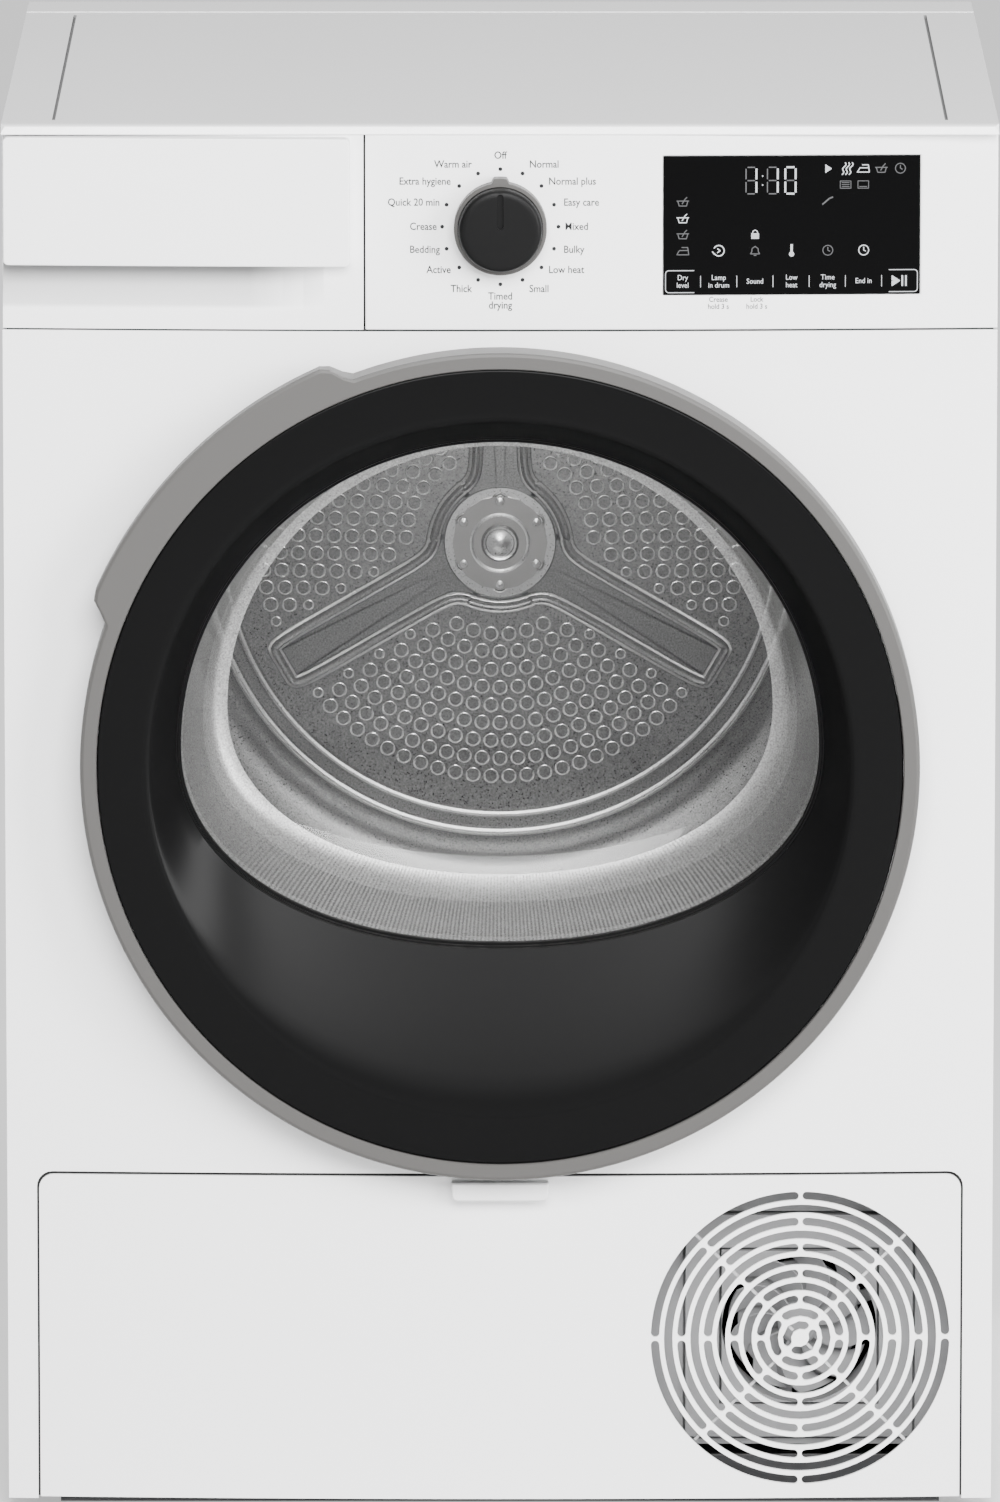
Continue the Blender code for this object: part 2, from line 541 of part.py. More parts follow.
def build_tank():
    """The condensate tank, its drawer front and the shelf it slides on."""
    left, right = -0.2980, -0.0818
    plate_right, low, high = -0.0898, SEAM + 0.0006, TOP_UNDERSIDE - GAP
    # From the rear bottom corner forwards and up: lip, finger scoop, raised front.
    scooped = [(0.0195, low), (0.0, low), (0.0, 0.7365), (0.0085, 0.7480), (0.0085, 0.7620), (-0.0100, 0.7649),
               (-0.0105, 0.8410), (0.0, high), (0.0195, high)]
    plain = [(y if y > 0.015 else 0.0, z) for y, z in scooped]
    loops = []
    for x, section in ((left, scooped), (plate_right - 0.001, scooped), (plate_right, plain), (right, plain)):
        loops.append([Vector((x, y, z)) for y, z in section])
    piece("tank_front", bow(loft(loops), rear=0.015), WHITE_PLASTIC)

    section = [(-0.285, 0.832), (-0.285, 0.740), (-0.180, 0.740), (-0.122, 0.790), (-0.095, 0.790), (-0.095, 0.832)]
    hollow = [(-0.2825, 0.850), (-0.2825, 0.7425), (-0.1810, 0.7425), (-0.1230, 0.7925), (-0.0975, 0.7925),
              (-0.0975, 0.850)]
    tank = piece("tank_body", prism(section, "y", 0.0202, 0.500), WHITE_PLASTIC)
    combine(tank, [prism(hollow, "y", 0.0230, 0.4975)])
    spout = rectangle((-0.2700, -0.2500), (0.4400, 0.4800))
    lid = plate(rectangle((-0.2848, -0.0952), (0.0210, 0.4990)), [spout], (0.0, 0.0025))
    swap = Matrix(((1, 0, 0, 0), (0, 0, 1, 0), (0, 1, 0, 0.8324), (0, 0, 0, 1)))
    bmesh.ops.transform(lid, matrix=swap, verts=lid.verts)
    piece("tank_lid", faced(lid), MID_GREY)

    shelf = [(-0.289, 0.7385), (-0.1790, 0.7385), (-0.1210, 0.7885), (-0.091, 0.7885), (-0.091, 0.7860),
             (-0.1200, 0.7860), (-0.1780, 0.7360), (-0.289, 0.7360)]
    piece("tank_shelf", prism(shelf, "y", 0.0240, 0.510), GALVANISED)


def build_controls_and_flap():
    """The knob, the service flap, the lint filter and the feet."""
    pivot = (KNOB_X, 0.0, KNOB_Z)
    knob = [(0.0228, -0.0205), (0.0252, -0.0190), (0.0253, -0.0016), (0.0040, -0.0016), (0.0040, 0.0120)]
    piece("program_knob", turned(knob, KNOB_X, KNOB_Z, MEDIUM), BLACK, pivot)

    # The ring under the knob has a small pointer tab at the top.
    def collar(radius, y, tab):
        points = []
        for i in range(48):
            a = 2 * math.pi * i / 48
            reach = radius + (0.0027 if tab and abs(math.degrees(a) - 90) < 8 else 0)
            points.append(Vector((KNOB_X + reach * math.cos(a), y, KNOB_Z + reach * math.sin(a))))
        return points

    loops = [collar(0.0257, -0.0120, False), collar(0.0275, -0.0120, True), collar(0.0278, -0.0110, True),
             collar(0.0278, -0.0010, True), collar(0.0257, -0.0010, False)]
    piece("knob_ring", loft(loops, ring=True), SATIN_GREY, pivot)

    # The flap's grille: rings of curved slots.
    slots = []
    for ring, radius in enumerate((0.032, 0.048, 0.064, 0.080)):
        for quarter in range(4):
            start = 90 * quarter + (45 if ring % 2 else 0)
            half, points = 0.0028, []
            margin = 4 + math.degrees(0.004 / radius)
            sweep = [math.radians(start + margin + (90 - 2 * margin) * i / 4) for i in range(5)]
            points += [((radius - half) * math.cos(a), (radius - half) * math.sin(a)) for a in sweep]
            points += [((radius + half) * math.cos(a), (radius + half) * math.sin(a)) for a in reversed(sweep)]
            slots.append([(FAN_X + a, FAN_Z + b) for a, b in points])
    outline = rectangle((-FLAP_HALF, FLAP_HALF), (FLAP_LOW, FLAP_TOP), 0.006, 2)
    axis = (0.0, FLAP_PIVOT_Y, FLAP_PIVOT_Z)
    piece("service_flap", bow(plate(outline, slots, (0.0, 0.0025))), WHITE, axis)
    tab = box((-0.0295, 0.0295), (-0.0100, -0.0003), (0.1939, 0.2059))
    soften(piece("flap_handle", tab, WHITE_PLASTIC, axis), 0.002)

    # The filter drops into the throat's floor; its upper edge has a lip to lift it by.
    side = [(0.0450, 0.195), (0.0500, 0.195), (0.0560, 0.2560), (0.0560, 0.2620), (0.0390, 0.2620), (0.0390, 0.2560)]
    piece("lint_filter", prism(side, "x", -0.105, 0.105), MID_GREY, (0.0, 0.0475, 0.262))

    foot = [(0.0180, 0.0), (0.0200, 0.0015), (0.0200, 0.0080), (0.0050, 0.0090), (0.0050, 0.0400)]
    names = ("foot_left_front", "foot_left_rear", "foot_right_front", "foot_right_rear")
    for name, (x, y) in zip(names, FEET):
        piece(name, upright(foot, x, y, COARSE), RUBBER, (x, y, 0.0))


for leftover in list(bpy.data.objects):
    bpy.data.objects.remove(leftover)
build_cabinet()
build_front()
build_door()
build_drum()
build_heat_pump()
build_tank()
build_controls_and_flap()
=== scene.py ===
# %% [markdown]
# # A tumble dryer, dressed around its CAD frame
#
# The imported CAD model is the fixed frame: it says where every panel, door and drum is, and which body
# each one moves with. This lesson adds what the eye sees: rounded sheet metal, a deep glossy door, a
# pressed steel drum and a lit display. Each cell explains one piece, and why it is made the way it is.

# %% Load the frame
import math

import bmesh
import bpy
from mathutils import Matrix, Vector


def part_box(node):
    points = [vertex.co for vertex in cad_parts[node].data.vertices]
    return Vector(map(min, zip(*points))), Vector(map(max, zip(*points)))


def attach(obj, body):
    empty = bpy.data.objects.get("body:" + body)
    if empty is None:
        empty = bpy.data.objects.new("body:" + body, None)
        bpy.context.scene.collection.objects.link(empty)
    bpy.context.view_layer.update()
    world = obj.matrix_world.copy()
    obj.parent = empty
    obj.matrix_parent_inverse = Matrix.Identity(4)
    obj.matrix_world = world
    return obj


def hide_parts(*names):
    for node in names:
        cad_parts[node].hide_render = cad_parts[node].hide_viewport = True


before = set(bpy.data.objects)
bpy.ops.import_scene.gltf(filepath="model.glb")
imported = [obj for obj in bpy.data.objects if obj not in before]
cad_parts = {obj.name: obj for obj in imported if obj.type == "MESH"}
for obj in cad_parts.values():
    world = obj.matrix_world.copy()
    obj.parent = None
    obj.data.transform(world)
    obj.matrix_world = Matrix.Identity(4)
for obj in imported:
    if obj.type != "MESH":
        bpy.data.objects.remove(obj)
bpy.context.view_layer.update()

# %% [markdown]
# ## Where things are
#
# Most places are read from CAD nodes, so those pieces can't drift away from the frame. Depths are measured
# from the machine's front plane. The front panels are bowed: their side edges lie 9 mm behind the middle.
# `bow_at` gives that offset, and everything printed on the front uses it too.

# %% Measure the frame
HALF = 0.2985
BOW = 0.009
FRONT_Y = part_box("top_cover")[0].y
RING_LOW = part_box("door_ring")[0]
BEZEL_LOW, BEZEL_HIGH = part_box("door_bezel")
DOOR_Z = (BEZEL_LOW.z + BEZEL_HIGH.z) / 2
RING_INNER = (BEZEL_HIGH.z - BEZEL_LOW.z) / 2 + 0.0003
DRUM_LOW, DRUM_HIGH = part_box("drum_shell")
DRUM_Z = (DRUM_LOW.z + DRUM_HIGH.z) / 2
FLAP_LOW, FLAP_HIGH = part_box("service_flap")
KNOB_LOW, KNOB_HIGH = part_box("program_knob")
KNOB_X, KNOB_Z = (KNOB_LOW.x + KNOB_HIGH.x) / 2, (KNOB_LOW.z + KNOB_HIGH.z) / 2
FAN_LOW, FAN_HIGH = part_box("cooling_fan")
FAN_X, FAN_Z = (FAN_LOW.x + FAN_HIGH.x) / 2, (FAN_LOW.z + FAN_HIGH.z) / 2


def bow_at(x):
    return BOW * (x / HALF) ** 2


print("front plane at y =", round(FRONT_Y, 4), "door centre z =", round(DOOR_Z, 4))

# %% [markdown]
# ## Camera, light and floor
#
# The machine is seen from far away, nearly head on and ten degrees from above, so its upright lines stay
# upright. A long lens and a distant camera give that view. One big soft lamp stands in front, another to
# the right and a weak one above, so the front is brighter than the top. A small lamp inside the drum
# stands for the drum light that such machines have.

# %% Set the stage
camera = bpy.data.objects.new("camera", bpy.data.cameras.new("camera"))
bpy.context.scene.collection.objects.link(camera)
camera.location = (0, FRONT_Y - 9.28, 2.124)
camera.rotation_euler = (math.radians(90 - 10.11), 0, 0)
camera.data.sensor_width = 36
camera.data.lens = 375.3
camera.data.clip_end = 100
bpy.context.scene.camera = camera


def panel_light(name, place, aim, size, power):
    lamp = bpy.data.lights.new(name, "AREA")
    lamp.shape = "RECTANGLE"
    lamp.size, lamp.size_y = size
    lamp.energy = power
    holder = bpy.data.objects.new(name, lamp)
    holder.location = place
    holder.rotation_euler = (Vector(aim) - Vector(place)).to_track_quat("-Z", "Y").to_euler()
    bpy.context.scene.collection.objects.link(holder)


panel_light("front_light", (0.3, -4.0, 2.7), (0, 0, 0.45), (3.0, 2.0), 490)
panel_light("right_light", (3.0, -2.6, 1.6), (0, 0, 0.45), (1.6, 2.4), 285)
panel_light("top_light", (0.2, 0.2, 3.0), (0, 0, 0.8), (2.2, 2.2), 9)
panel_light("drum_light", (0, FRONT_Y + 0.15, DRUM_Z + 0.19), (0, FRONT_Y + 0.5, DRUM_Z - 0.05),
            (0.16, 0.05), 1.25)

sky = bpy.data.worlds.new("studio")
bpy.context.scene.world = sky
sky.use_nodes = True
sky_nodes, sky_links = sky.node_tree.nodes, sky.node_tree.links
sky_light = sky_nodes["Background"]
sky_light.inputs["Color"].default_value = (1, 1, 1, 1)
sky_light.inputs["Strength"].default_value = 0.57
sky_seen = sky_nodes.new("ShaderNodeBackground")
sky_seen.inputs["Strength"].default_value = 8.0
sky_path = sky_nodes.new("ShaderNodeLightPath")
sky_mix = sky_nodes.new("ShaderNodeMixShader")
sky_links.new(sky_path.outputs["Is Camera Ray"], sky_mix.inputs["Fac"])
sky_links.new(sky_light.outputs["Background"], sky_mix.inputs[1])
sky_links.new(sky_seen.outputs["Background"], sky_mix.inputs[2])
sky_links.new(sky_mix.outputs["Shader"], sky_nodes["World Output"].inputs["Surface"])

# %% [markdown]
# ## Shader groups
#
# Factory finishes are never perfectly even. Four small effects are enough for all of them, so each is
# built once as a node group: slow drift of tone, the fine texture of paint or moulded plastic, the lines
# of brushed or rolled metal, and the film of dust that settles on what faces up.

# %% Build the shared groups


def new_group(name, inputs, outputs):
    group = bpy.data.node_groups.new(name, "ShaderNodeTree")
    for label, kind, value in inputs:
        socket = group.interface.new_socket(label, in_out="INPUT", socket_type=kind)
        socket.default_value = value
    for label, kind in outputs:
        group.interface.new_socket(label, in_out="OUTPUT", socket_type=kind)
    return group, group.nodes.new("NodeGroupInput"), group.nodes.new("NodeGroupOutput")


def math_node(tree, operation, a, b=0.0):
    """A Math node whose inputs are numbers or other nodes' outputs."""
    node = tree.nodes.new("ShaderNodeMath")
    node.operation = operation
    for socket, value in zip(node.inputs, (a, b)):
        if isinstance(value, (int, float)):
            socket.default_value = value
        else:
            tree.links.new(value, socket)
    return node.outputs[0]


def plus(tree, a, b):
    return math_node(tree, "ADD", a, b)


def minus(tree, a, b):
    return math_node(tree, "SUBTRACT", a, b)


def times(tree, a, b):
    return math_node(tree, "MULTIPLY", a, b)


def within_one(tree, value):
    """The value, held between nought and one."""
    return math_node(tree, "MINIMUM", math_node(tree, "MAXIMUM", value, 0.0), 1.0)


def noise_node(tree, scale, detail=3.0, vector=None):
    node = tree.nodes.new("ShaderNodeTexNoise")
    node.inputs["Detail"].default_value = detail
    if isinstance(scale, (int, float)):
        node.inputs["Scale"].default_value = scale
    else:
        tree.links.new(scale, node.inputs["Scale"])
    if vector is None:
        vector = tree.nodes.new("ShaderNodeTexCoord").outputs["Object"]
    tree.links.new(vector, node.inputs["Vector"])
    return node.outputs["Fac"]


tone_drift, source, sink = new_group(
    "tone_drift", [("Scale", "NodeSocketFloat", 6.0), ("Amount", "NodeSocketFloat", 0.05)],
    [("Factor", "NodeSocketFloat")])
wave = minus(tone_drift, noise_node(tone_drift, source.outputs["Scale"]), 0.5)
swing = times(tone_drift, wave, source.outputs["Amount"])
tone_drift.links.new(plus(tone_drift, swing, 1.0), sink.inputs["Factor"])

fine_texture, source, sink = new_group(
    "fine_texture", [("Scale", "NodeSocketFloat", 900.0)], [("Height", "NodeSocketFloat")])
coarse = noise_node(fine_texture, source.outputs["Scale"], 2.0)
finer = noise_node(fine_texture, times(fine_texture, source.outputs["Scale"], 3.1), 1.0)
fine_texture.links.new(plus(fine_texture, coarse, times(fine_texture, finer, 0.4)),
                       sink.inputs["Height"])

rolled_lines, source, sink = new_group(
    "rolled_lines", [("Stretch", "NodeSocketVector", (20.0, 20.0, 900.0))], [("Lines", "NodeSocketFloat")])
place = rolled_lines.nodes.new("ShaderNodeTexCoord").outputs["Object"]
stretch = rolled_lines.nodes.new("ShaderNodeVectorMath")
stretch.operation = "MULTIPLY"
rolled_lines.links.new(place, stretch.inputs[0])
rolled_lines.links.new(source.outputs["Stretch"], stretch.inputs[1])
rolled_lines.links.new(noise_node(rolled_lines, 1.0, 4.0, stretch.outputs[0]), sink.inputs["Lines"])

settled_dust, source, sink = new_group(
    "settled_dust", [("Amount", "NodeSocketFloat", 0.1)], [("Mask", "NodeSocketFloat")])
facing = settled_dust.nodes.new("ShaderNodeNewGeometry")
split = settled_dust.nodes.new("ShaderNodeSeparateXYZ")
settled_dust.links.new(facing.outputs["Normal"], split.inputs[0])
upward = math_node(settled_dust, "POWER", math_node(settled_dust, "MAXIMUM", split.outputs["Z"], 0.0), 3.0)
specks = times(settled_dust, noise_node(settled_dust, 140.0, 6.0), upward)
settled_dust.links.new(times(settled_dust, specks, source.outputs["Amount"]), sink.inputs["Mask"])
print("groups:", [group.name for group in bpy.data.node_groups])

# %% [markdown]
# ## Finishes
#
# `finish` puts the groups together: colour times drift, a little dust, and a bump whose height is the
# fine texture, or lines. A clear coat is what makes paint and glossy plastic look wet. Metals get most of
# their look from roughness, so they vary that as well.

# %% Define the finishes
FINISHES = {}


def group_node(tree, group, **values):
    node = tree.nodes.new("ShaderNodeGroup")
    node.node_tree = group
    for label, value in values.items():
        node.inputs[label].default_value = value
    return node.outputs[0]


def tinted(tree, colour, factor):
    """The colour, brightened or darkened by a factor that varies over the surface."""
    node = tree.nodes.new("ShaderNodeMix")
    node.data_type = "RGBA"
    node.blend_type = "MULTIPLY"
    node.inputs[0].default_value = 1.0
    node.inputs[6].default_value = (*colour, 1)
    shade = tree.nodes.new("ShaderNodeCombineColor")
    for channel in shade.inputs:
        tree.links.new(factor, channel)
    tree.links.new(shade.outputs[0], node.inputs[7])
    return node.outputs[2]


def finish(name, colour, roughness, metallic=0.0, coat=0.0, specular=0.5, drift=0.04, texture=900.0,
           height=0.02, dust=0.05, lines=None, line_depth=0.3, alpha=1.0, grain=0.0):
    material = bpy.data.materials.new(name)
    material.use_nodes = True
    tree = material.node_tree
    shader = tree.nodes["Principled BSDF"]
    shader.inputs["Metallic"].default_value = metallic
    shader.inputs["Coat Weight"].default_value = coat
    shader.inputs["Coat Roughness"].default_value = 0.08
    shader.inputs["Specular IOR Level"].default_value = specular
    shader.inputs["Alpha"].default_value = alpha
    factor = group_node(tree, tone_drift, Scale=5.0, Amount=drift)
    relief = group_node(tree, fine_texture, Scale=texture)
    if grain:
        speckle = times(tree, minus(tree, noise_node(tree, 900.0, 1.0), 0.5), 4.0 * grain)
        factor = times(tree, factor, plus(tree, speckle, 1.0))
    if lines:
        streaks = group_node(tree, rolled_lines, Stretch=lines)
        relief = plus(tree, relief, times(tree, streaks, 2.0))
        factor = times(tree, factor, plus(tree, times(tree, streaks, line_depth), 1 - line_depth / 2))
    film = group_node(tree, settled_dust, Amount=dust)
    dusty = tree.nodes.new("ShaderNodeMix")
    dusty.data_type = "RGBA"
    tree.links.new(film, dusty.inputs[0])
    tree.links.new(tinted(tree, colour, factor), dusty.inputs[6])
    dusty.inputs[7].default_value = (0.55, 0.54, 0.52, 1)
    tree.links.new(dusty.outputs[2], shader.inputs["Base Color"])
    rough = times(tree, factor, roughness)
    tree.links.new(plus(tree, rough, film), shader.inputs["Roughness"])
    bump = tree.nodes.new("ShaderNodeBump")
    bump.inputs["Strength"].default_value = 0.25
    bump.inputs["Distance"].default_value = height / 1000
    tree.links.new(relief, bump.inputs["Height"])
    tree.links.new(bump.outputs["Normal"], shader.inputs["Normal"])
    FINISHES[name] = material
    return material


def spot_node(tree):
    """Where a surface point lies: outputs X, Y and Z in metres."""
    spot = tree.nodes.new("ShaderNodeSeparateXYZ")
    tree.links.new(tree.nodes.new("ShaderNodeTexCoord").outputs["Object"], spot.inputs[0])
    return spot.outputs


def shader_of(material):
    return material.node_tree.nodes["Principled BSDF"]


finish("white_enamel", (0.88, 0.88, 0.885), 0.32, coat=0.2, drift=0.02, texture=700, height=0.02)
finish("white_plastic", (0.88, 0.88, 0.885), 0.42, drift=0.02, texture=1500, height=0.03)
finish("ring_lacquer", (0.062, 0.060, 0.058), 0.45, specular=0.25, drift=0.03, texture=2600, height=0.02)
finish("bezel_black", (0.0028, 0.0028, 0.0029), 0.30, specular=0.062, drift=0.1, texture=1200, height=0.01)
finish("knob_black", (0.0046, 0.0046, 0.0047), 0.38, specular=0.08, drift=0.08, texture=2500, height=0.03)
finish("dark_plastic", (0.035, 0.035, 0.037), 0.55, specular=0.35, drift=0.1, texture=1400, height=0.06,
       dust=0.2)
finish("strut_grey", (0.40, 0.40, 0.405), 0.5, drift=0.03, texture=1500, height=0.03)
finish("grey_plastic", (0.22, 0.225, 0.23), 0.5, drift=0.08, texture=1400, height=0.05, dust=0.15)
finish("light_grey_plastic", (0.25, 0.25, 0.255), 0.5, drift=0.06, texture=1400, height=0.04, dust=0.1)
finish("pressed_steel", (0.42, 0.42, 0.415), 0.36, metallic=1.0, drift=0.08, texture=2200, height=0.10,
       dust=0.0, grain=0.32)
# The next two are copies of the pressed steel that carry painted light: a darker one for painted shade and a
# paler one for painted highlight.
finish("shaded_steel", (0.36, 0.36, 0.357), 0.42, metallic=1.0, drift=0.08, texture=2200, height=0.10,
       dust=0.0, grain=0.32)
finish("steel_painted_highlight", (0.97, 0.97, 0.96), 0.34, metallic=1.0, drift=0.05, texture=2200, height=0.06,
       dust=0.0, grain=0.25)
finish("brushed_steel", (0.60, 0.59, 0.58), 0.3, metallic=1.0, drift=0.08, height=0.04, lines=(12, 500, 12))
finish("copper_tube", (0.70, 0.37, 0.22), 0.3, metallic=1.0, drift=0.25, height=0.03, lines=(12, 12, 400))
finish("fin_aluminium", (0.72, 0.73, 0.75), 0.35, metallic=1.0, drift=0.1, lines=(900, 8, 8), line_depth=0.9)
finish("rubber", (0.018, 0.018, 0.018), 0.75, specular=0.3, drift=0.2, texture=900, height=0.12, dust=0.25)
finish("felt", (0.36, 0.34, 0.31), 0.95, specular=0.1, drift=0.3, texture=1800, height=0.5, dust=0.0)
finish("ink", (0.008, 0.008, 0.009), 0.6, specular=0.2, drift=0.05, texture=2000, height=0.01, dust=0.0)
finish("display_black", (0.0022, 0.0022, 0.0023), 0.12, specular=0.04, drift=0.02, height=0.002, dust=0.02)
print("finishes so far:", len(FINISHES))

# %% [markdown]
# ### Galvanised sheet
#
# Zinc crystals cool into flat patches of slightly different grey. A Voronoi texture gives every patch its
# own tone.

# %% Galvanised sheet
finish("galvanised", (0.50, 0.51, 0.53), 0.42, metallic=0.9, drift=0.1, height=0.03, dust=0.1)
tree = FINISHES["galvanised"].node_tree
spangle = tree.nodes.new("ShaderNodeTexVoronoi")
spangle.inputs["Scale"].default_value = 70.0
tree.links.new(tree.nodes.new("ShaderNodeTexCoord").outputs["Object"], spangle.inputs["Vector"])
tone = tree.nodes.new("ShaderNodeSeparateColor")
tree.links.new(spangle.outputs["Color"], tone.inputs[0])
patches = plus(tree, times(tree, tone.outputs[0], 0.22), 0.33)
tree.links.new(patches, shader_of(FINISHES["galvanised"]).inputs["Roughness"])
tree.links.new(tinted(tree, (0.62, 0.63, 0.65), plus(tree, patches, 0.45)),
               shader_of(FINISHES["galvanised"]).inputs["Base Color"])

# %% [markdown]
# ### Door glass
#
# The pane is slightly tinted. A low alpha lets most of the light through, so the drum stays visible, and
# the smooth surface adds faint reflections.

# %% Door glass
finish("door_glass", (0.010, 0.010, 0.011), 0.05, specular=0.35, drift=0.02, height=0.002, dust=0.0,
       alpha=0.30)

# %% [markdown]
# ### Light-up symbols
#
# Lit symbols glow softly and unlit ones are only just there: the same shapes behind dark glass. Both get an
# emission colour, strong or very weak; the weak glow of the unlit ones is painted light, as they are no
# lamps.

# %% Symbols that glow
for name, strength in (("symbol_lit", 1.5), ("symbol_dim", 0.07)):
    lit = shader_of(finish(name, (0.05, 0.05, 0.052), 0.5, specular=0.1, drift=0.05, height=0.002, dust=0.0))
    lit.inputs["Emission Color"].default_value = (0.93, 0.96, 1.0, 1)
    lit.inputs["Emission Strength"].default_value = strength
print("all finishes:", len(FINISHES))

# %% [markdown]
# ## Helpers that shape pieces
#
# `rings` is the workhorse. It starts from a circle made by an operator, extrudes its edge loop again and
# again, and after each extrusion puts the new loop where an outline says. Turned parts, the door ring,
# its deep bezel and the glass bowl are all stacks of such loops. Each vertex remembers its step round the
# circle, so loops of any outline stay in line.

# %% Loops and turned shapes


def rings(outlines, steps, closed=False, shades={}):
    """A body from a stack of outlines. Each one gives a point for every angle round the piece, and shades
    gives the bands between them a material slot."""
    bm = bmesh.new()
    step = bm.verts.layers.int.new("step")
    made = bmesh.ops.create_circle(bm, segments=steps, radius=1.0)["verts"]
    for i, vert in enumerate(made):
        vert[step] = i
    first = edges = bm.edges[:]
    loop = made
    for number, outline in enumerate(outlines):
        if number:
            extruded = bmesh.ops.extrude_edge_only(bm, edges=edges)["geom"]
            loop = [item for item in extruded if isinstance(item, bmesh.types.BMVert)]
            edges = [item for item in extruded if isinstance(item, bmesh.types.BMEdge)]
            inside = set(loop)
            edges = [edge for edge in edges if edge.verts[0] in inside and edge.verts[1] in inside]
            for face in extruded:
                if isinstance(face, bmesh.types.BMFace):
                    face.material_index = shades.get(number - 1, 0)
        for vert in loop:
            vert.co = outline(2 * math.pi * vert[step] / steps)
    if closed:
        bmesh.ops.bridge_loops(bm, edges=first + edges)
    else:
        bmesh.ops.edgeloop_fill(bm, edges=first)
        bmesh.ops.edgeloop_fill(bm, edges=edges)
    bm.normal_update()
    bmesh.ops.recalc_face_normals(bm, faces=bm.faces)
    return bm


def at_radius(radius, y, cx=0.0, cz=0.0):
    """A circle that faces the front, y metres behind the front plane."""
    return lambda angle: Vector((cx + radius * math.cos(angle), FRONT_Y + y, cz + radius * math.sin(angle)))


def turned(profile, cx, cz, steps=64):
    return rings([at_radius(radius, y, cx, cz) for radius, y in profile], steps)


# %% [markdown]
# ## Blocks, holes and the bow
#
# Panels start as a cube, stretched to size. A hole is cut with a Boolean that is applied at once, so no
# hidden cutter is left behind. `bend` then slices the panel into narrow columns and moves each by the
# bow: narrow columns keep the reflections smooth.

# %% Panel helpers
COLUMN = 0.012


def block(low, high):
    """A block between two corners, whose y is measured from the front plane."""
    bm = bmesh.new()
    bmesh.ops.create_cube(bm, size=1.0)
    low, high = Vector(low) + Vector((0, FRONT_Y, 0)), Vector(high) + Vector((0, FRONT_Y, 0))
    for vert in bm.verts:
        vert.co = Vector(low[i] if vert.co[i] < 0 else high[i] for i in range(3))
    return bm


def temporary(bm):
    mesh = bpy.data.meshes.new("temporary")
    bm.to_mesh(mesh)
    bm.free()
    obj = bpy.data.objects.new("temporary", mesh)
    bpy.context.scene.collection.objects.link(obj)
    return obj


def carved(bm, cutters, operation="DIFFERENCE"):
    """The body with others cut from it, or joined to it."""
    base = temporary(bm)
    tools = [temporary(cutter) for cutter in cutters]
    for tool in tools:
        step = base.modifiers.new("cut", "BOOLEAN")
        step.operation, step.solver, step.object = operation, "EXACT", tool
    graph = bpy.context.evaluated_depsgraph_get()
    result = bmesh.new()
    result.from_mesh(base.evaluated_get(graph).to_mesh())
    for obj in [base] + tools:
        bpy.data.objects.remove(obj)
    bmesh.ops.dissolve_degenerate(result, dist=1e-6, edges=result.edges)
    return result


def joined(bodies):
    """Several bodies in one mesh."""
    whole = bmesh.new()
    for body in bodies:
        mesh = bpy.data.meshes.new("part")
        body.to_mesh(mesh)
        body.free()
        whole.from_mesh(mesh)
        bpy.data.meshes.remove(mesh)
    return whole


def rounded(bm, width, segments=3, limit=40, choose=lambda edge: True):
    """Bevels the sharp edges that a rule picks."""
    sharp = [edge for edge in bm.edges if len(edge.link_faces) == 2
             and edge.calc_face_angle(0) > math.radians(limit) and choose(edge)]
    bmesh.ops.bevel(bm, geom=sharp, offset=width, segments=segments, affect="EDGES", profile=0.5,
                    material=-1,
                    clamp_overlap=True)
    return bm


def bend(bm, rear=1.0):
    """Curves a piece with the cabinet's front. What lies behind rear stays where it is."""
    low, high = min(v.co.x for v in bm.verts), max(v.co.x for v in bm.verts)
    for i in range(1, int((high - low) / COLUMN) + 1):
        bmesh.ops.bisect_plane(bm, geom=bm.verts[:] + bm.edges[:] + bm.faces[:],
                               plane_co=(low + i * COLUMN, 0, 0), plane_no=(1, 0, 0))
    for vert in bm.verts:
        if vert.co.y - FRONT_Y < rear:
            vert.co.y += bow_at(vert.co.x)
    return bm


# %% [markdown]
# `settle` turns a finished bmesh into a scene object. It marks edges over 35 degrees as sharp, shades the
# rest smooth, hangs the piece on its body and hides the CAD nodes that it stands for.

# %% Finish a piece


def settle(name, bm, body, finishes, stands_for=(), bevel=0.0, weighted=True, sharp=35):
    bm.normal_update()
    for face in bm.faces:
        face.smooth = True
    for edge in bm.edges:
        edge.smooth = len(edge.link_faces) != 2 or edge.calc_face_angle(0) < math.radians(sharp)
    mesh = bpy.data.meshes.new(name)
    bm.to_mesh(mesh)
    bm.free()
    obj = bpy.data.objects.new(name, mesh)
    bpy.context.scene.collection.objects.link(obj)
    for finish_name in [finishes] if isinstance(finishes, str) else finishes:
        mesh.materials.append(FINISHES[finish_name])
    if bevel:
        step = obj.modifiers.new("edges", "BEVEL")
        step.width, step.segments, step.limit_method = bevel, 2, "ANGLE"
        step.angle_limit = math.radians(40)
    if weighted:
        obj.modifiers.new("flat faces", "WEIGHTED_NORMAL").keep_sharp = True
    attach(obj, body)
    if stands_for:
        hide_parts(*stands_for)
    print(f"{name}: {len(mesh.polygons)} faces")
    return obj


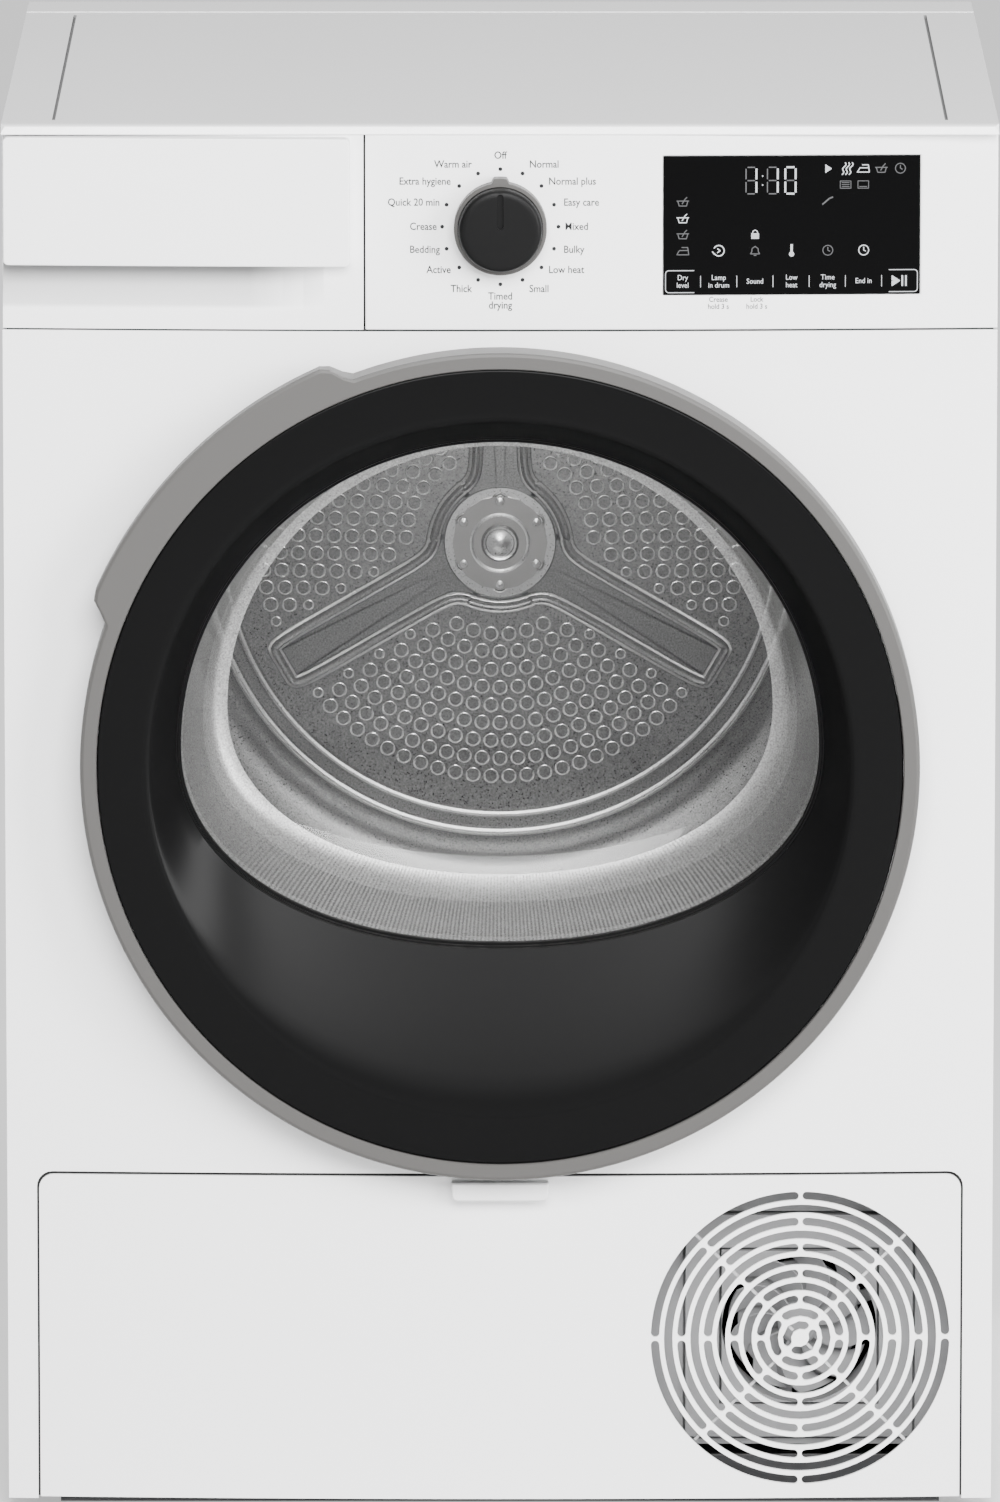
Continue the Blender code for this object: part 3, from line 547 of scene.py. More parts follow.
def round_hole(cx, cz, radius, y, steps=96):
    """A cutter for a round hole between two depths."""
    return turned([(radius, y[0]), (radius, y[1])], cx, cz, steps)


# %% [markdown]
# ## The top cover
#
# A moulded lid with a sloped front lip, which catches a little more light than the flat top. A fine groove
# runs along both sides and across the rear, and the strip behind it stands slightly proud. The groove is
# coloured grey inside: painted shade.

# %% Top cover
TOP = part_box("top_cover")[1].z
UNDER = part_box("top_cover")[0].z
LID_DEPTH = 0.570
lid = block((-HALF, 0, UNDER), (HALF, LID_DEPTH, TOP - 0.0003))
lid = carved(lid, [block((-HALF, 0.520, TOP - 0.003), (HALF, LID_DEPTH, TOP))], "UNION")
grooves = [block((side * 0.2675 - 0.0009, 0.020, TOP - 0.0024), (side * 0.2675 + 0.0009, 0.5076, TOP + 1))
           for side in (-1, 1)]
grooves.append(block((-0.2670, 0.5064, TOP - 0.0020), (0.2670, 0.5076, TOP + 1)))
lid = carved(lid, grooves)


def runs_back(edge):
    """Whether an edge runs from front to back."""
    a, b = (v.co for v in edge.verts)
    return abs(a.y - b.y) > 0.001


def near(value, target):
    return abs(value - target) < 1e-4


def is_front_top(edge):
    a, b = (v.co for v in edge.verts)
    return near(a.y, FRONT_Y) and near(b.y, FRONT_Y) and near(a.z, TOP - 0.0003) and near(b.z, TOP - 0.0003)


def is_upright_corner(edge):
    a, b = (v.co for v in edge.verts)
    return abs(a.z - b.z) > 0.003 and abs(abs(a.x) - HALF) < 1e-4 and a.y > FRONT_Y + 0.5


rounded(lid, 0.0052, 2, choose=is_front_top)
rounded(lid, 0.006, 4, choose=is_upright_corner)
# Faces inside the groove take a grey finish: painted shade.
for face in lid.faces:
    place = face.calc_center_median()
    within = abs(place.x) < 0.2690 and 0.019 < place.y - FRONT_Y < 0.509
    face.material_index = 1 if within and TOP - 0.0026 < place.z < TOP - 0.0005 else 0
finish("groove_painted_shade", (0.20, 0.20, 0.202), 0.5, drift=0.03, texture=900, height=0.03)
settle("lid", lid, "cabinet", ["white_enamel", "groove_painted_shade"], ["top_cover"], bevel=0.0005)

# %% [markdown]
# ## The front panel
#
# One enamelled sheet with a round door opening and a notch for the service flap. It is cut flat and then
# bent, as a press would do, with narrow returns along its sides.

# %% Front panel
PANEL_LOW, PANEL_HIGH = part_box("front_panel")
EDGE_X = PANEL_HIGH.x
FLAP_TOP, FLAP_HALF = FLAP_HIGH.z, FLAP_HIGH.x
sheet = block((-EDGE_X, 0, PANEL_LOW.z), (EDGE_X, 0.002, PANEL_HIGH.z))
returns = [block((min(a, b), 0.0010, PANEL_LOW.z), (max(a, b), 0.0100, PANEL_HIGH.z))
           for a, b in ((-EDGE_X, -EDGE_X + 0.0014), (EDGE_X, EDGE_X - 0.0014))]
sheet = carved(sheet, returns, "UNION")
notch = block((-FLAP_HALF - 0.0014, -0.01, -0.1), (FLAP_HALF + 0.0014, 0.02, FLAP_TOP + 0.0019))


rounded(notch, 0.0095, 6, choose=lambda edge: runs_back(edge) and edge.verts[0].co.z > 0)
slot_for_hook = block((-0.2375, -0.01, DOOR_Z - 0.014), (-0.2175, 0.02, DOOR_Z + 0.014))
sheet = carved(sheet, [round_hole(0, DOOR_Z, 0.2085, (-0.01, 0.02)), notch, slot_for_hook])
settle("front_sheet", bend(sheet), "cabinet", "white_enamel", ["front_panel"], bevel=0.0006)

# %% [markdown]
# Dark strips behind the gaps between the panels are painted shadow: they close the seams, so no light shows
# through and each seam reads as a dark line.

# %% Seam strips
strips = [bend(block((-0.2960, 0.0024, 0.7215), (0.2960, 0.0036, 0.7252))),
          block((-0.0817, 0.0100, 0.7262), (-0.0807, 0.0180, 0.8430))]
around_flap = block((-FLAP_HALF - 0.0045, 0.0030, 0.0080), (FLAP_HALF + 0.0045, 0.0040, FLAP_TOP + 0.0045))
within_flap = block((-FLAP_HALF + 0.0030, 0.0, 0.0), (FLAP_HALF - 0.0030, 0.01, FLAP_TOP - 0.0030))
strips.append(bend(carved(around_flap, [within_flap])))
# The strips use the rubber finish as painted shadow in the seams.
settle("seam_painted_shadow", joined(strips), "cabinet", "rubber", weighted=False)

# %% [markdown]
# ## The control panel and its display
#
# A thicker moulding, flat behind and bowed in front. The display sits in a shallow pocket. Its glass is
# nearly black and reflects a little.

# %% Control panel and display
CONTROL_LOW, CONTROL_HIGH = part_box("control_panel")
SCREEN_LOW, SCREEN_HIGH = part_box("display_glass")
moulding = block((CONTROL_LOW.x, 0, CONTROL_LOW.z), (EDGE_X, 0.0195, CONTROL_HIGH.z))
pocket = block((SCREEN_LOW.x - 0.0003, -0.01, SCREEN_LOW.z - 0.0003),
               (SCREEN_HIGH.x + 0.0003, 0.0016, SCREEN_HIGH.z + 0.0003))
shaft = round_hole(KNOB_X, KNOB_Z, 0.0048, (-0.01, 0.03), 32)
inside = block((CONTROL_LOW.x + 0.005, 0.013, CONTROL_LOW.z + 0.005),
               (EDGE_X - 0.005, 0.03, CONTROL_HIGH.z - 0.005))
moulding = bend(carved(moulding, [pocket, shaft, inside]), rear=0.0125)
settle("control_moulding", moulding, "cabinet", "white_plastic", ["control_panel"],
       bevel=0.0006)
screen = bend(block((SCREEN_LOW.x, -0.0003, SCREEN_LOW.z), (SCREEN_HIGH.x, 0.0013, SCREEN_HIGH.z)))
settle("screen", screen, "cabinet", "display_black", ["display_glass"], bevel=0.0003)

# %% [markdown]
# ## The tank's drawer front
#
# A raised plate stands about 10 mm proud. Below it the moulding curves in, so that fingers can pull the
# drawer by the plate's lower edge. The curve dies out before the right-hand end. Below the plate the colour
# carries painted shade, darker smoothly towards the plate, where less light reaches the top of the hollow.

# %% Tank front
TANK_LOW, TANK_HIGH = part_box("tank_front")
PLATE_RIGHT, PLATE_LOW, PLATE_TOP, CREASE = -0.0898, 0.7649, 0.8422, 0.7370
drawer = block((TANK_LOW.x, 0, TANK_LOW.z), (TANK_HIGH.x, 0.0195, TANK_HIGH.z))
scoop = block((TANK_LOW.x - 0.01, -0.02, CREASE), (-0.1050, 0.0085, PLATE_LOW))
bmesh.ops.subdivide_edges(scoop, edges=scoop.edges[:], cuts=15, use_grid_fill=True)
for vert in scoop.verts:
    if vert.co.y - FRONT_Y > -0.0195:
        rise = min(1.0, max(0.0, (vert.co.z - CREASE) / (PLATE_LOW - CREASE)))
        end = min(1.0, max(0.0, (-0.1050 - vert.co.x) / 0.045))
        reach = math.sin(rise * math.pi / 2) * math.sin(end * math.pi / 2) ** 0.7
        depth = -0.02 + (0.0015 + 0.0085 * reach + 0.02 - 0.0015) * (vert.co.y - FRONT_Y + 0.02) / 0.0285
        vert.co.y = FRONT_Y + depth
raised = block((TANK_LOW.x + 0.0005, -0.0105, PLATE_LOW), (PLATE_RIGHT, 0.004, PLATE_TOP))


rounded(raised, 0.0030, 4, choose=runs_back)
rounded(raised, 0.0010, 2, choose=lambda edge: all(near(v.co.y, FRONT_Y - 0.0105) for v in edge.verts),
        limit=60)
drawer = bend(carved(carved(drawer, [scoop]), [raised], "UNION"), rear=0.0125)
# Faces in the hollow under the plate take the finish with painted shade.
for face in drawer.faces:
    place = face.calc_center_median()
    hollow = place.y - FRONT_Y - bow_at(place.x)
    below_plate = CREASE < place.z < PLATE_LOW + 0.001 and place.x < -0.1
    face.material_index = 1 if below_plate and hollow > -0.001 else 0
tree = finish("scoop_painted_shade", (0.88, 0.88, 0.885), 0.42, drift=0.02, texture=1500, height=0.03).node_tree
spot = spot_node(tree)
# Painted shade: darker towards the plate, with a quick step just above the crease, fading out towards the
# right-hand end.
up = times(tree, minus(tree, spot["Z"], CREASE), 1 / (PLATE_LOW - CREASE))
across = times(tree, minus(tree, -0.1050, spot["X"]), 1 / 0.045)
across = within_one(tree, across)
lip = times(tree, within_one(tree, times(tree, up, 8.0)), -0.34)
gloom = plus(tree, times(tree, up, -0.40), lip)
gloom = times(tree, gloom, across)
tree.links.new(tinted(tree, (0.88, 0.88, 0.885), plus(tree, gloom, 1.0)),
               shader_of(FINISHES["scoop_painted_shade"]).inputs["Base Color"])
settle("tank_plate", drawer, "tank", ["white_plastic", "scoop_painted_shade"], ["tank_front"],
       bevel=0.0005)

# %% [markdown]
# ## The door ring
#
# The ring is a satin collar, ten millimetres wide. At the upper left it swells outwards to make the grip,
# and its rear edge lifts there so that fingers can reach behind it. `swell` is nought or one, with a
# short smooth ramp at each end of the grip.

# %% Door ring
RING_OUTER = -RING_LOW.x if -RING_LOW.x < 0.253 else 0.2523
GRIP_OUTER = 0.2655
GRIP_START, GRIP_STOP = 110.4, 159.9


def swell(angle):
    degrees = math.degrees(angle)
    ramp = min((degrees - GRIP_START) / 3.4, (GRIP_STOP - degrees) / 3.4)
    ramp = min(1.0, max(0.0, ramp))
    return ramp * ramp * (3 - 2 * ramp)


def ring_at(radius, y, share=1.0, lift=0.0):
    """A circle round the door that takes part in the swelling."""
    def point(angle):
        reach = radius + share * (GRIP_OUTER - RING_OUTER) * swell(angle)
        return Vector((reach * math.cos(angle), FRONT_Y + y - lift * swell(angle),
                       DOOR_Z + reach * math.sin(angle)))
    return point


ring = rings([
    ring_at(RING_INNER, -0.0222, 0), ring_at(RING_INNER, -0.0262, 0),
    ring_at(RING_INNER + 0.0006, -0.0270, 0),
    ring_at(RING_INNER + 0.0040, -0.0270, 0.3), ring_at(RING_OUTER - 0.0022, -0.0270),
    ring_at(RING_OUTER - 0.0006, -0.0264),
    ring_at(RING_OUTER, -0.0250), ring_at(RING_OUTER, -0.0160), ring_at(RING_OUTER, -0.0008, lift=0.0115),
    ring_at(RING_OUTER - 0.003, -0.0008, lift=0.0115), ring_at(RING_OUTER - 0.003, -0.0222),
], 300, closed=True)
settle("ring", ring, "door", "ring_lacquer", ["door_ring"], sharp=20)

# %% [markdown]
# ## The bezel
#
# Black and glossy, it is flat round the outside and then dips to the glass. The glass is wide above and
# flat below, so the dip is a steep wall at the sides and a long shallow scoop at the bottom. That scoop
# faces the light above, which is why it looks paler.

# %% Window outline and bezel
WINDOW_HALF, WINDOW_MID, WINDOW_TOP, WINDOW_LOW = 0.192, 0.472, 0.6576, 0.3523


def window_point(angle, grow):
    c, s = math.cos(angle), math.sin(angle)
    half, power = (WINDOW_TOP - WINDOW_MID, 2.0) if s >= 0 else (WINDOW_MID - WINDOW_LOW, 2.15)
    x = math.copysign(abs(c) ** (2 / power), c) * (WINDOW_HALF + grow)
    z = math.copysign(abs(s) ** (2 / power), s) * (half + grow)
    return Vector((x, 0, WINDOW_MID + z))


def window_at(grow, y):
    return lambda angle: window_point(angle, grow) + Vector((0, FRONT_Y + y, 0))


def shoulder(angle, inset=0.0):
    """Where the flat band ends and the dip starts: nearer the middle at the bottom."""
    radius = 0.2135 - inset - 0.0010 * max(0.0, -math.sin(angle)) ** 3
    return Vector((radius * math.cos(angle), 0, DOOR_Z + radius * math.sin(angle)))


def dip_at(share):
    """Part of the way from the shoulder to the glass, along a curve that is steepest at first."""
    y = -0.0250 + 0.0205 * (math.hypot(share, 0.12) - 0.12) / (math.hypot(1, 0.12) - 0.12)

    def point(angle):
        place = shoulder(angle, 0.0012).lerp(window_point(angle, 0.0036), share)
        return Vector((place.x, FRONT_Y + y, place.z))
    return point


def shoulder_at(y, inset=0.0):
    return lambda angle: shoulder(angle, inset) + Vector((0, FRONT_Y + y, 0))


OUTER = RING_INNER - 0.0003
bezel = rings([
    at_radius(OUTER, -0.0240, 0, DOOR_Z), at_radius(OUTER - 0.0004, -0.0250, 0, DOOR_Z),
    at_radius(OUTER - 0.0014, -0.0256, 0, DOOR_Z), shoulder_at(-0.0256, -0.0030), shoulder_at(-0.0256),
    dip_at(0.0),
    dip_at(0.05), dip_at(0.1), dip_at(0.16), dip_at(0.24), dip_at(0.4), dip_at(0.6), dip_at(0.8),
    dip_at(1.0),
    window_at(0.0030, -0.0030), window_at(0.0022, -0.0030), window_at(0.0018, -0.0012),
    window_at(0.0004, -0.0012),
    window_at(0.0, -0.0006), window_at(0.0, 0.0030),
    window_at(0.0060, 0.0030), window_at(0.0080, -0.0018), at_radius(0.2120, -0.0214, 0, DOOR_Z),
    at_radius(OUTER, -0.0214, 0, DOOR_Z),
], 240, closed=True)
settle("bezel", bezel, "door", "bezel_black", ["door_bezel"])

# %% [markdown]
# ## The glass bowl
#
# The pane bulges in towards the drum, so that laundry can't lodge against the seal. Its wall is frosted and
# finely ribbed below, in two tones of grey: the paler tone is painted highlight. The rib lines come from the
# angle round the drum's axis; they are a bump and also painted shade in the colour.

# %% Ribbed glass


def ribbed_finish(name, grey, depth):
    """Frosted grey glass with fine ribs that run towards the drum, below the middle only."""
    colour = (grey, grey, grey * 0.99)
    material = finish(name, colour, 0.40, metallic=0.8, texture=2200, height=0.30, dust=0.0, alpha=0.60)
    tree = material.node_tree
    spot = spot_node(tree)
    around = math_node(tree, "ARCTAN2", minus(tree, spot["Z"], DRUM_Z), spot["X"])
    low_down = times(tree, minus(tree, 0.415, spot["Z"]), 35.0)
    low_down = within_one(tree, low_down)
    ribs = times(tree, math_node(tree, "SINE", times(tree, around, 430.0)), low_down)
    grit = times(tree, minus(tree, noise_node(tree, 900.0, 1.0), 0.5), 1.4)
    # The ribs also darken and lighten the colour: painted shade along the ribs.
    stripes = plus(tree, plus(tree, times(tree, ribs, depth), 0.85), grit)
    tree.links.new(tinted(tree, colour, stripes), shader_of(material).inputs["Base Color"])
    tree.links.new(ribs, [n for n in tree.nodes if n.type == "BUMP"][0].inputs["Height"])


ribbed_finish("ribbed_glass", 0.29, 0.40)
ribbed_finish("ribbed_painted_highlight", 0.40, 0.22)

# %% [markdown]
# The bowl's loops shrink as they go back. They also rise, which widens the wall at the bottom.

# %% Glass bowl


def pane_at(scale, rise, y):
    middle = Vector((0, 0, WINDOW_MID - 0.005))

    def point(angle):
        place = middle + (window_point(angle, 0.0020) - middle) * scale
        return Vector((place.x, FRONT_Y + y, place.z + rise))
    return point


bowl_shape = [(0.05, 0.017, 0.0600), (0.3, 0.017, 0.0592), (0.55, 0.017, 0.0566), (0.75, 0.0170, 0.0524),
              (0.85, 0.0170, 0.0484), (0.885, 0.0166, 0.0460), (0.905, 0.0148, 0.0420),
              (0.925, 0.0112, 0.0350),
              (0.945, 0.0072, 0.0280), (0.965, 0.0044, 0.0200), (0.985, 0.0016, 0.0100), (1.0, 0.0, 0.0036)]
bowl = [pane_at(*loop) for loop in bowl_shape]
bowl += [pane_at(scale + (0.003 if rise else -0.002), rise, y + 0.0030) for scale, rise,
         y in reversed(bowl_shape)]
# Bands in the paler glass are painted highlight.
wall = {band: 2 if band < 7 or band == 10 else 1 for band in range(4, 11)}
settle("glass_bowl", rings(bowl, 200, shades=wall), "door",
       ["door_glass", "ribbed_glass", "ribbed_painted_highlight"],
       ["door_glass"])

# %% [markdown]
# ## The back of the drum
#
# This is what shows through the glass: a pressed steel disc. It has a hub with six rivets, a three-armed
# star with a raised bead round it, fields of small dimples between the arms, rings near its edge and a
# rounded corner. The flat disc comes first, as a stack of circles with the rings already in its profile.

# %% Drum back: disc
BACK_Y = 0.4920


def raised_disc(cx, cz, profile, steps=48):
    """A turned part that stands out from the disc: heights are measured from it towards the front."""
    return turned([(radius, BACK_Y - height) for radius, height in profile], cx, cz, steps)


disc_profile = [
    (0.0010, 0), (0.1715, 0), (0.1730, 0.0026), (0.1745, 0.0032), (0.1760, 0.0026),
    (0.1775, 0.0004), (0.1830, 0.0004), (0.1842, 0.0026), (0.1858, 0.0032),
    (0.1870, 0.0010), (0.1878, 0.0024), (0.1890, 0.0010), (0.1950, -0.0022),
    (0.2030, -0.0030), (0.2110, -0.0016), (0.2200, 0.0030), (0.2290, 0.0098),
    (0.2380, 0.0190), (0.2470, 0.0310), (0.2550, 0.0460), (0.2620, 0.0640),
    (0.2668, 0.0850), (0.2678, 0.1000), (0.2682, 0.1000), (0.2682, 0.0200),
    (0.2600, -0.0055), (0.0010, -0.0055),
]
disc = raised_disc(0, DRUM_Z, disc_profile, 240)
# The crests of the two rings near the edge take the paler steel: painted highlight.
for face in disc.faces:
    middle = face.calc_center_median()
    out = math.hypot(middle.x, middle.z - DRUM_Z)
    crest = 0.1725 < out < 0.1765 or 0.1838 < out < 0.1886
    face.material_index = 1 if crest else 0
settle("drum_disc", disc, "drum", ["pressed_steel", "steel_painted_highlight"], ["drum_back"])

# %% [markdown]
# The star's outline is drawn by its distance from the middle at each angle. The three arms taper, and a
# soft maximum blends each one into the next, which gives the rounded valleys. The bead then follows that
# outline: eight loops, each pushed sideways along the outline's own normal.

# %% Drum back: star bead
ARM_ANGLES = [math.radians(a) for a in (90, 210, 330)]
ARM_LENGTH, ARM_ROOT, ARM_END, HUB_BULGE = 0.158, 0.0145, 0.0150, 0.0400
BLEND = 115


def star_radius(angle):
    total = math.exp(HUB_BULGE * BLEND)
    for arm in ARM_ANGLES:
        away = math.cos(angle - arm)
        if away > 0.05:
            side = abs(math.sin(angle - arm))
            taper = (ARM_ROOT - ARM_END) / ARM_LENGTH
            flank = ARM_ROOT / (side + taper * away + 1e-6)
            corner = ((flank ** -14) + ((ARM_LENGTH / away) ** -14)) ** (-1 / 14)
            total += math.exp(min(corner, 0.2) * BLEND)
    return math.log(total) / BLEND


def star_at(offset, height):
    def place(angle):
        radius = star_radius(angle)
        return Vector((radius * math.cos(angle), 0, DRUM_Z + radius * math.sin(angle)))

    def point(angle):
        along = place(angle + 0.004) - place(angle - 0.004)
        normal = Vector((along.z, 0, -along.x)).normalized()
        return place(angle) + normal * offset + Vector((0, FRONT_Y + BACK_Y - height, 0))
    return point


bead = [star_at(-0.0046, -0.0006), star_at(-0.0040, 0.0022), star_at(-0.0026, 0.0028),
        star_at(-0.0012, 0.0006),
        star_at(0.0012, 0.0006), star_at(0.0026, 0.0030), star_at(0.0042, 0.0022), star_at(0.0050, -0.0006)]
# The bead's two crests are the paler steel, painted highlight, and the valley between them the darker steel,
# painted shade.
bead = rings(bead, 900, closed=True, shades={1: 1, 3: 2, 5: 1})
settle("star_bead", bead, "drum", ["pressed_steel", "steel_painted_highlight", "shaded_steel"],
       weighted=False, sharp=60)


def within_star(share, height):
    """The star's outline, drawn in towards the hub."""
    edge = star_at(-0.0046, height)

    def point(angle):
        place = edge(angle)
        return Vector((place.x * share, place.y, DRUM_Z + (place.z - DRUM_Z) * share))
    return point


# The star's inside, up to the bead, is the darker steel: painted shade.
panel = rings([within_star(share, 0.0004)
               for share in (0.10, 0.35, 0.6, 0.8, 1.0)] + [star_at(-0.0046, -0.0010)], 600)
settle("star_panel", panel, "drum", "shaded_steel", weighted=False)

# %% [markdown]
# The hub is a plate with two rings, a domed nut and six rivets. All are small turned parts, joined into one
# mesh. Their flat faces are a paler steel, painted highlight; their steep walls and the sunken ring are a
# darker steel, painted shade, which draws their outlines.

# %% Drum back: hub
hub = [raised_disc(0, DRUM_Z, [
    (0.0356, -0.0010), (0.0356, 0.0016), (0.0348, 0.0024), (0.0200, 0.0026), (0.0192, 0.0050),
    (0.0180, 0.0056),
    (0.0168, 0.0050), (0.0160, 0.0020), (0.0125, 0.0020), (0.0118, 0.0060), (0.0105, 0.0074),
    (0.0092, 0.0070),
    (0.0086, 0.0050), (0.0060, 0.0052), (0.0030, 0.0066), (0.0006, 0.0068)], 96)]
for i in range(6):
    angle = math.radians(30 + 60 * i)
    hub.append(raised_disc(0.0265 * math.cos(angle), DRUM_Z + 0.0265 * math.sin(angle), [
        (0.0056, 0.0018), (0.0054, 0.0042), (0.0046, 0.0048), (0.0039, 0.0034), (0.0032, 0.0034),
        (0.0026, 0.0058),
        (0.0004, 0.0064)], 24))
hub = joined(hub)
hub.normal_update()
# Flat faces keep the paler steel, painted highlight; steep walls and the sunken ring take the darker steel,
# painted shade.
for face in hub.faces:
    middle = face.calc_center_median()
    sunken = 0.0120 < math.hypot(middle.x, middle.z - DRUM_Z) < 0.0170
    face.material_index = 1 if sunken or abs(face.normal.y) < 0.75 else 0
settle("drum_hub", hub, "drum", ["steel_painted_highlight", "shaded_steel"])

# %% [markdown]
# There are over two hundred dimples, so each one is kept to a few dozen faces: a low ring with a sunken
# middle. They lie on concentric arcs, one pitch apart along each arc, and keep clear of the star.

# %% Drum back: dimples
PITCH, DIMPLE = 0.0114, 0.0047
dimples = []


def add_dimple(radius, angle, size):
    profile = [(size + 0.0003, -0.0006), (size + 0.0001, 0.0008), (size - 0.0003, 0.0010),
               (size - 0.0011, 0.0001)]
    loops = [at_radius(r, BACK_Y - height, radius * math.cos(angle), DRUM_Z + radius * math.sin(angle))
             for r, height in profile]
    dimples.append(rings(loops, 16, shades={1: 1, 2: 1}))


for middle, half_field in ((270.0, 60.0), (150.0, 60.0), (30.0, 60.0)):
    for row in range(10):
        radius = 0.0480 + PITCH * row
        stagger = 0.5 * (row % 2)
        reach = int(math.radians(half_field) * radius / PITCH) + 1
        for j in range(-reach, reach + 1):
            angle = math.radians(middle) + (j + stagger) * PITCH / radius
            nearest = min(abs(math.sin(angle - arm)) * radius for arm in ARM_ANGLES
                          if math.cos(angle - arm) > 0)
            inside = abs(math.degrees(angle) - middle) < half_field
            if inside and radius - star_radius(angle) > 0.0098 and nearest > 0.0218:
                add_dimple(radius, angle, DIMPLE if nearest > 0.0275 else DIMPLE * 0.72)
print("dimples:", len(dimples))
dimpled = joined(dimples)
dimpled.normal_update()
# The rims and inner walls of the dimples take the paler steel, painted highlight, except where they face
# down; their middles take the darker steel, painted shade.
for face in dimpled.faces:
    if len(face.verts) > 8:
        face.material_index = 2
    elif face.normal.z < -0.3:
        face.material_index = 0
settle("dimples", dimpled, "drum", ["pressed_steel", "steel_painted_highlight", "shaded_steel"],
       weighted=False)


# %% [markdown]
# ## The selector
#
# The knob is a turned cap with a pill-shaped groove that shows where it points. Under it sits a grey ring
# with a small tab at the top.

# %% Selector
KNOB_R = 0.02535
cap = turned([
    (0.0020, -0.0205), (0.0200, -0.0205), (0.0226, -0.0202), (0.0240, -0.0194), (0.0249, -0.0180),
    (0.0252, -0.0160),
    (KNOB_R, -0.0060), (KNOB_R, -0.0018), (0.0040, -0.0018), (0.0040, 0.0110), (0.0020, 0.0110)], KNOB_X,
    KNOB_Z, 128)
groove = block((KNOB_X - 0.00185, -0.0215, KNOB_Z + 0.0010), (KNOB_X + 0.00185, -0.0192, KNOB_Z + 0.0222))
rounded(groove, 0.00184, 6, choose=runs_back)
settle("knob_cap", carved(cap, [groove]), "knob", "knob_black", ["program_knob"],
       bevel=0.0003)


def collar_at(radius, y, tab):
    """A circle with a tab at the top, ten millimetres wide below and six above."""
    def point(angle):
        away = abs(math.degrees(angle) - 90)
        reach = radius + (0.0027 * min(1.0, max(0.0, (11.2 - away) / 3.8)) if tab else 0)
        return Vector((KNOB_X + reach * math.cos(angle), FRONT_Y + y, KNOB_Z + reach * math.sin(angle)))
    return point


collar = rings([
    collar_at(0.0256, -0.0120, False), collar_at(0.0272, -0.0120, True), collar_at(0.0278, -0.0114, True),
    collar_at(0.0278, -0.0008, True), collar_at(0.0256, -0.0008, False)], 360, closed=True)
settle("knob_collar", collar, "knob", "ring_lacquer", ["knob_ring"])

# %% [markdown]
# ## Printing on the front
#
# Words and symbols are thin flat meshes just in front of the panel, bent with it. `lettering` turns a
# text curve into a mesh before it is placed. `bar` draws one stroke, and `path` a row of them.

# %% Printing helpers
PRINT = 0.00012


def lettering(words, size, x, z, align="CENTER", lift=0.0, bold=0.00007):
    curve = bpy.data.curves.new("words", "FONT")
    curve.body, curve.size, curve.align_x, curve.align_y = words, size, align, "CENTER"
    curve.resolution_u, curve.extrude, curve.offset = 3, 0.00003, bold
    obj = bpy.data.objects.new("words", curve)
    bpy.context.scene.collection.objects.link(obj)
    bm = bmesh.new()
    bm.from_mesh(obj.evaluated_get(bpy.context.evaluated_depsgraph_get()).to_mesh())
    bpy.data.objects.remove(obj)
    for vert in bm.verts:
        vert.co = Vector((x + 0.9 * vert.co.x, FRONT_Y - vert.co.z - PRINT - lift, z + vert.co.y))
    return bm


def bar(a, b, width, lift=0.0):
    """A straight stroke between two (x, z) points."""
    start, end = Vector((a[0], 0, a[1])), Vector((b[0], 0, b[1]))
    bm = bmesh.new()
    bmesh.ops.create_cube(bm, size=1.0)
    bmesh.ops.scale(bm, vec=((end - start).length + width * 0.5, 0.00006, width), verts=bm.verts)
    lean = Matrix.Rotation(-math.atan2(end.z - start.z, end.x - start.x), 4, "Y")
    middle = (start + end) / 2 + Vector((0, FRONT_Y - PRINT - lift, 0))
    bmesh.ops.transform(bm, matrix=Matrix.Translation(middle) @ lean, verts=bm.verts)
    return bm


def path(points, width, closed=False, lift=0.0):
    ends = points[1:] + points[:1] if closed else points[1:]
    return [bar(a, b, width, lift) for a, b in zip(points, ends)]


def arc(cx, cz, radius, start=0, stop=360, steps=16):
    angles = [math.radians(start + (stop - start) * i / steps) for i in range(steps + 1)]
    return [(cx + radius * math.cos(a), cz + radius * math.sin(a)) for a in angles]


def wrap_on_front(bm):
    for vert in bm.verts:
        vert.co.y += bow_at(vert.co.x)
    return bm


# %% [markdown]
# Sixteen dots surround the knob. The words are plain descriptions of drying cycles.

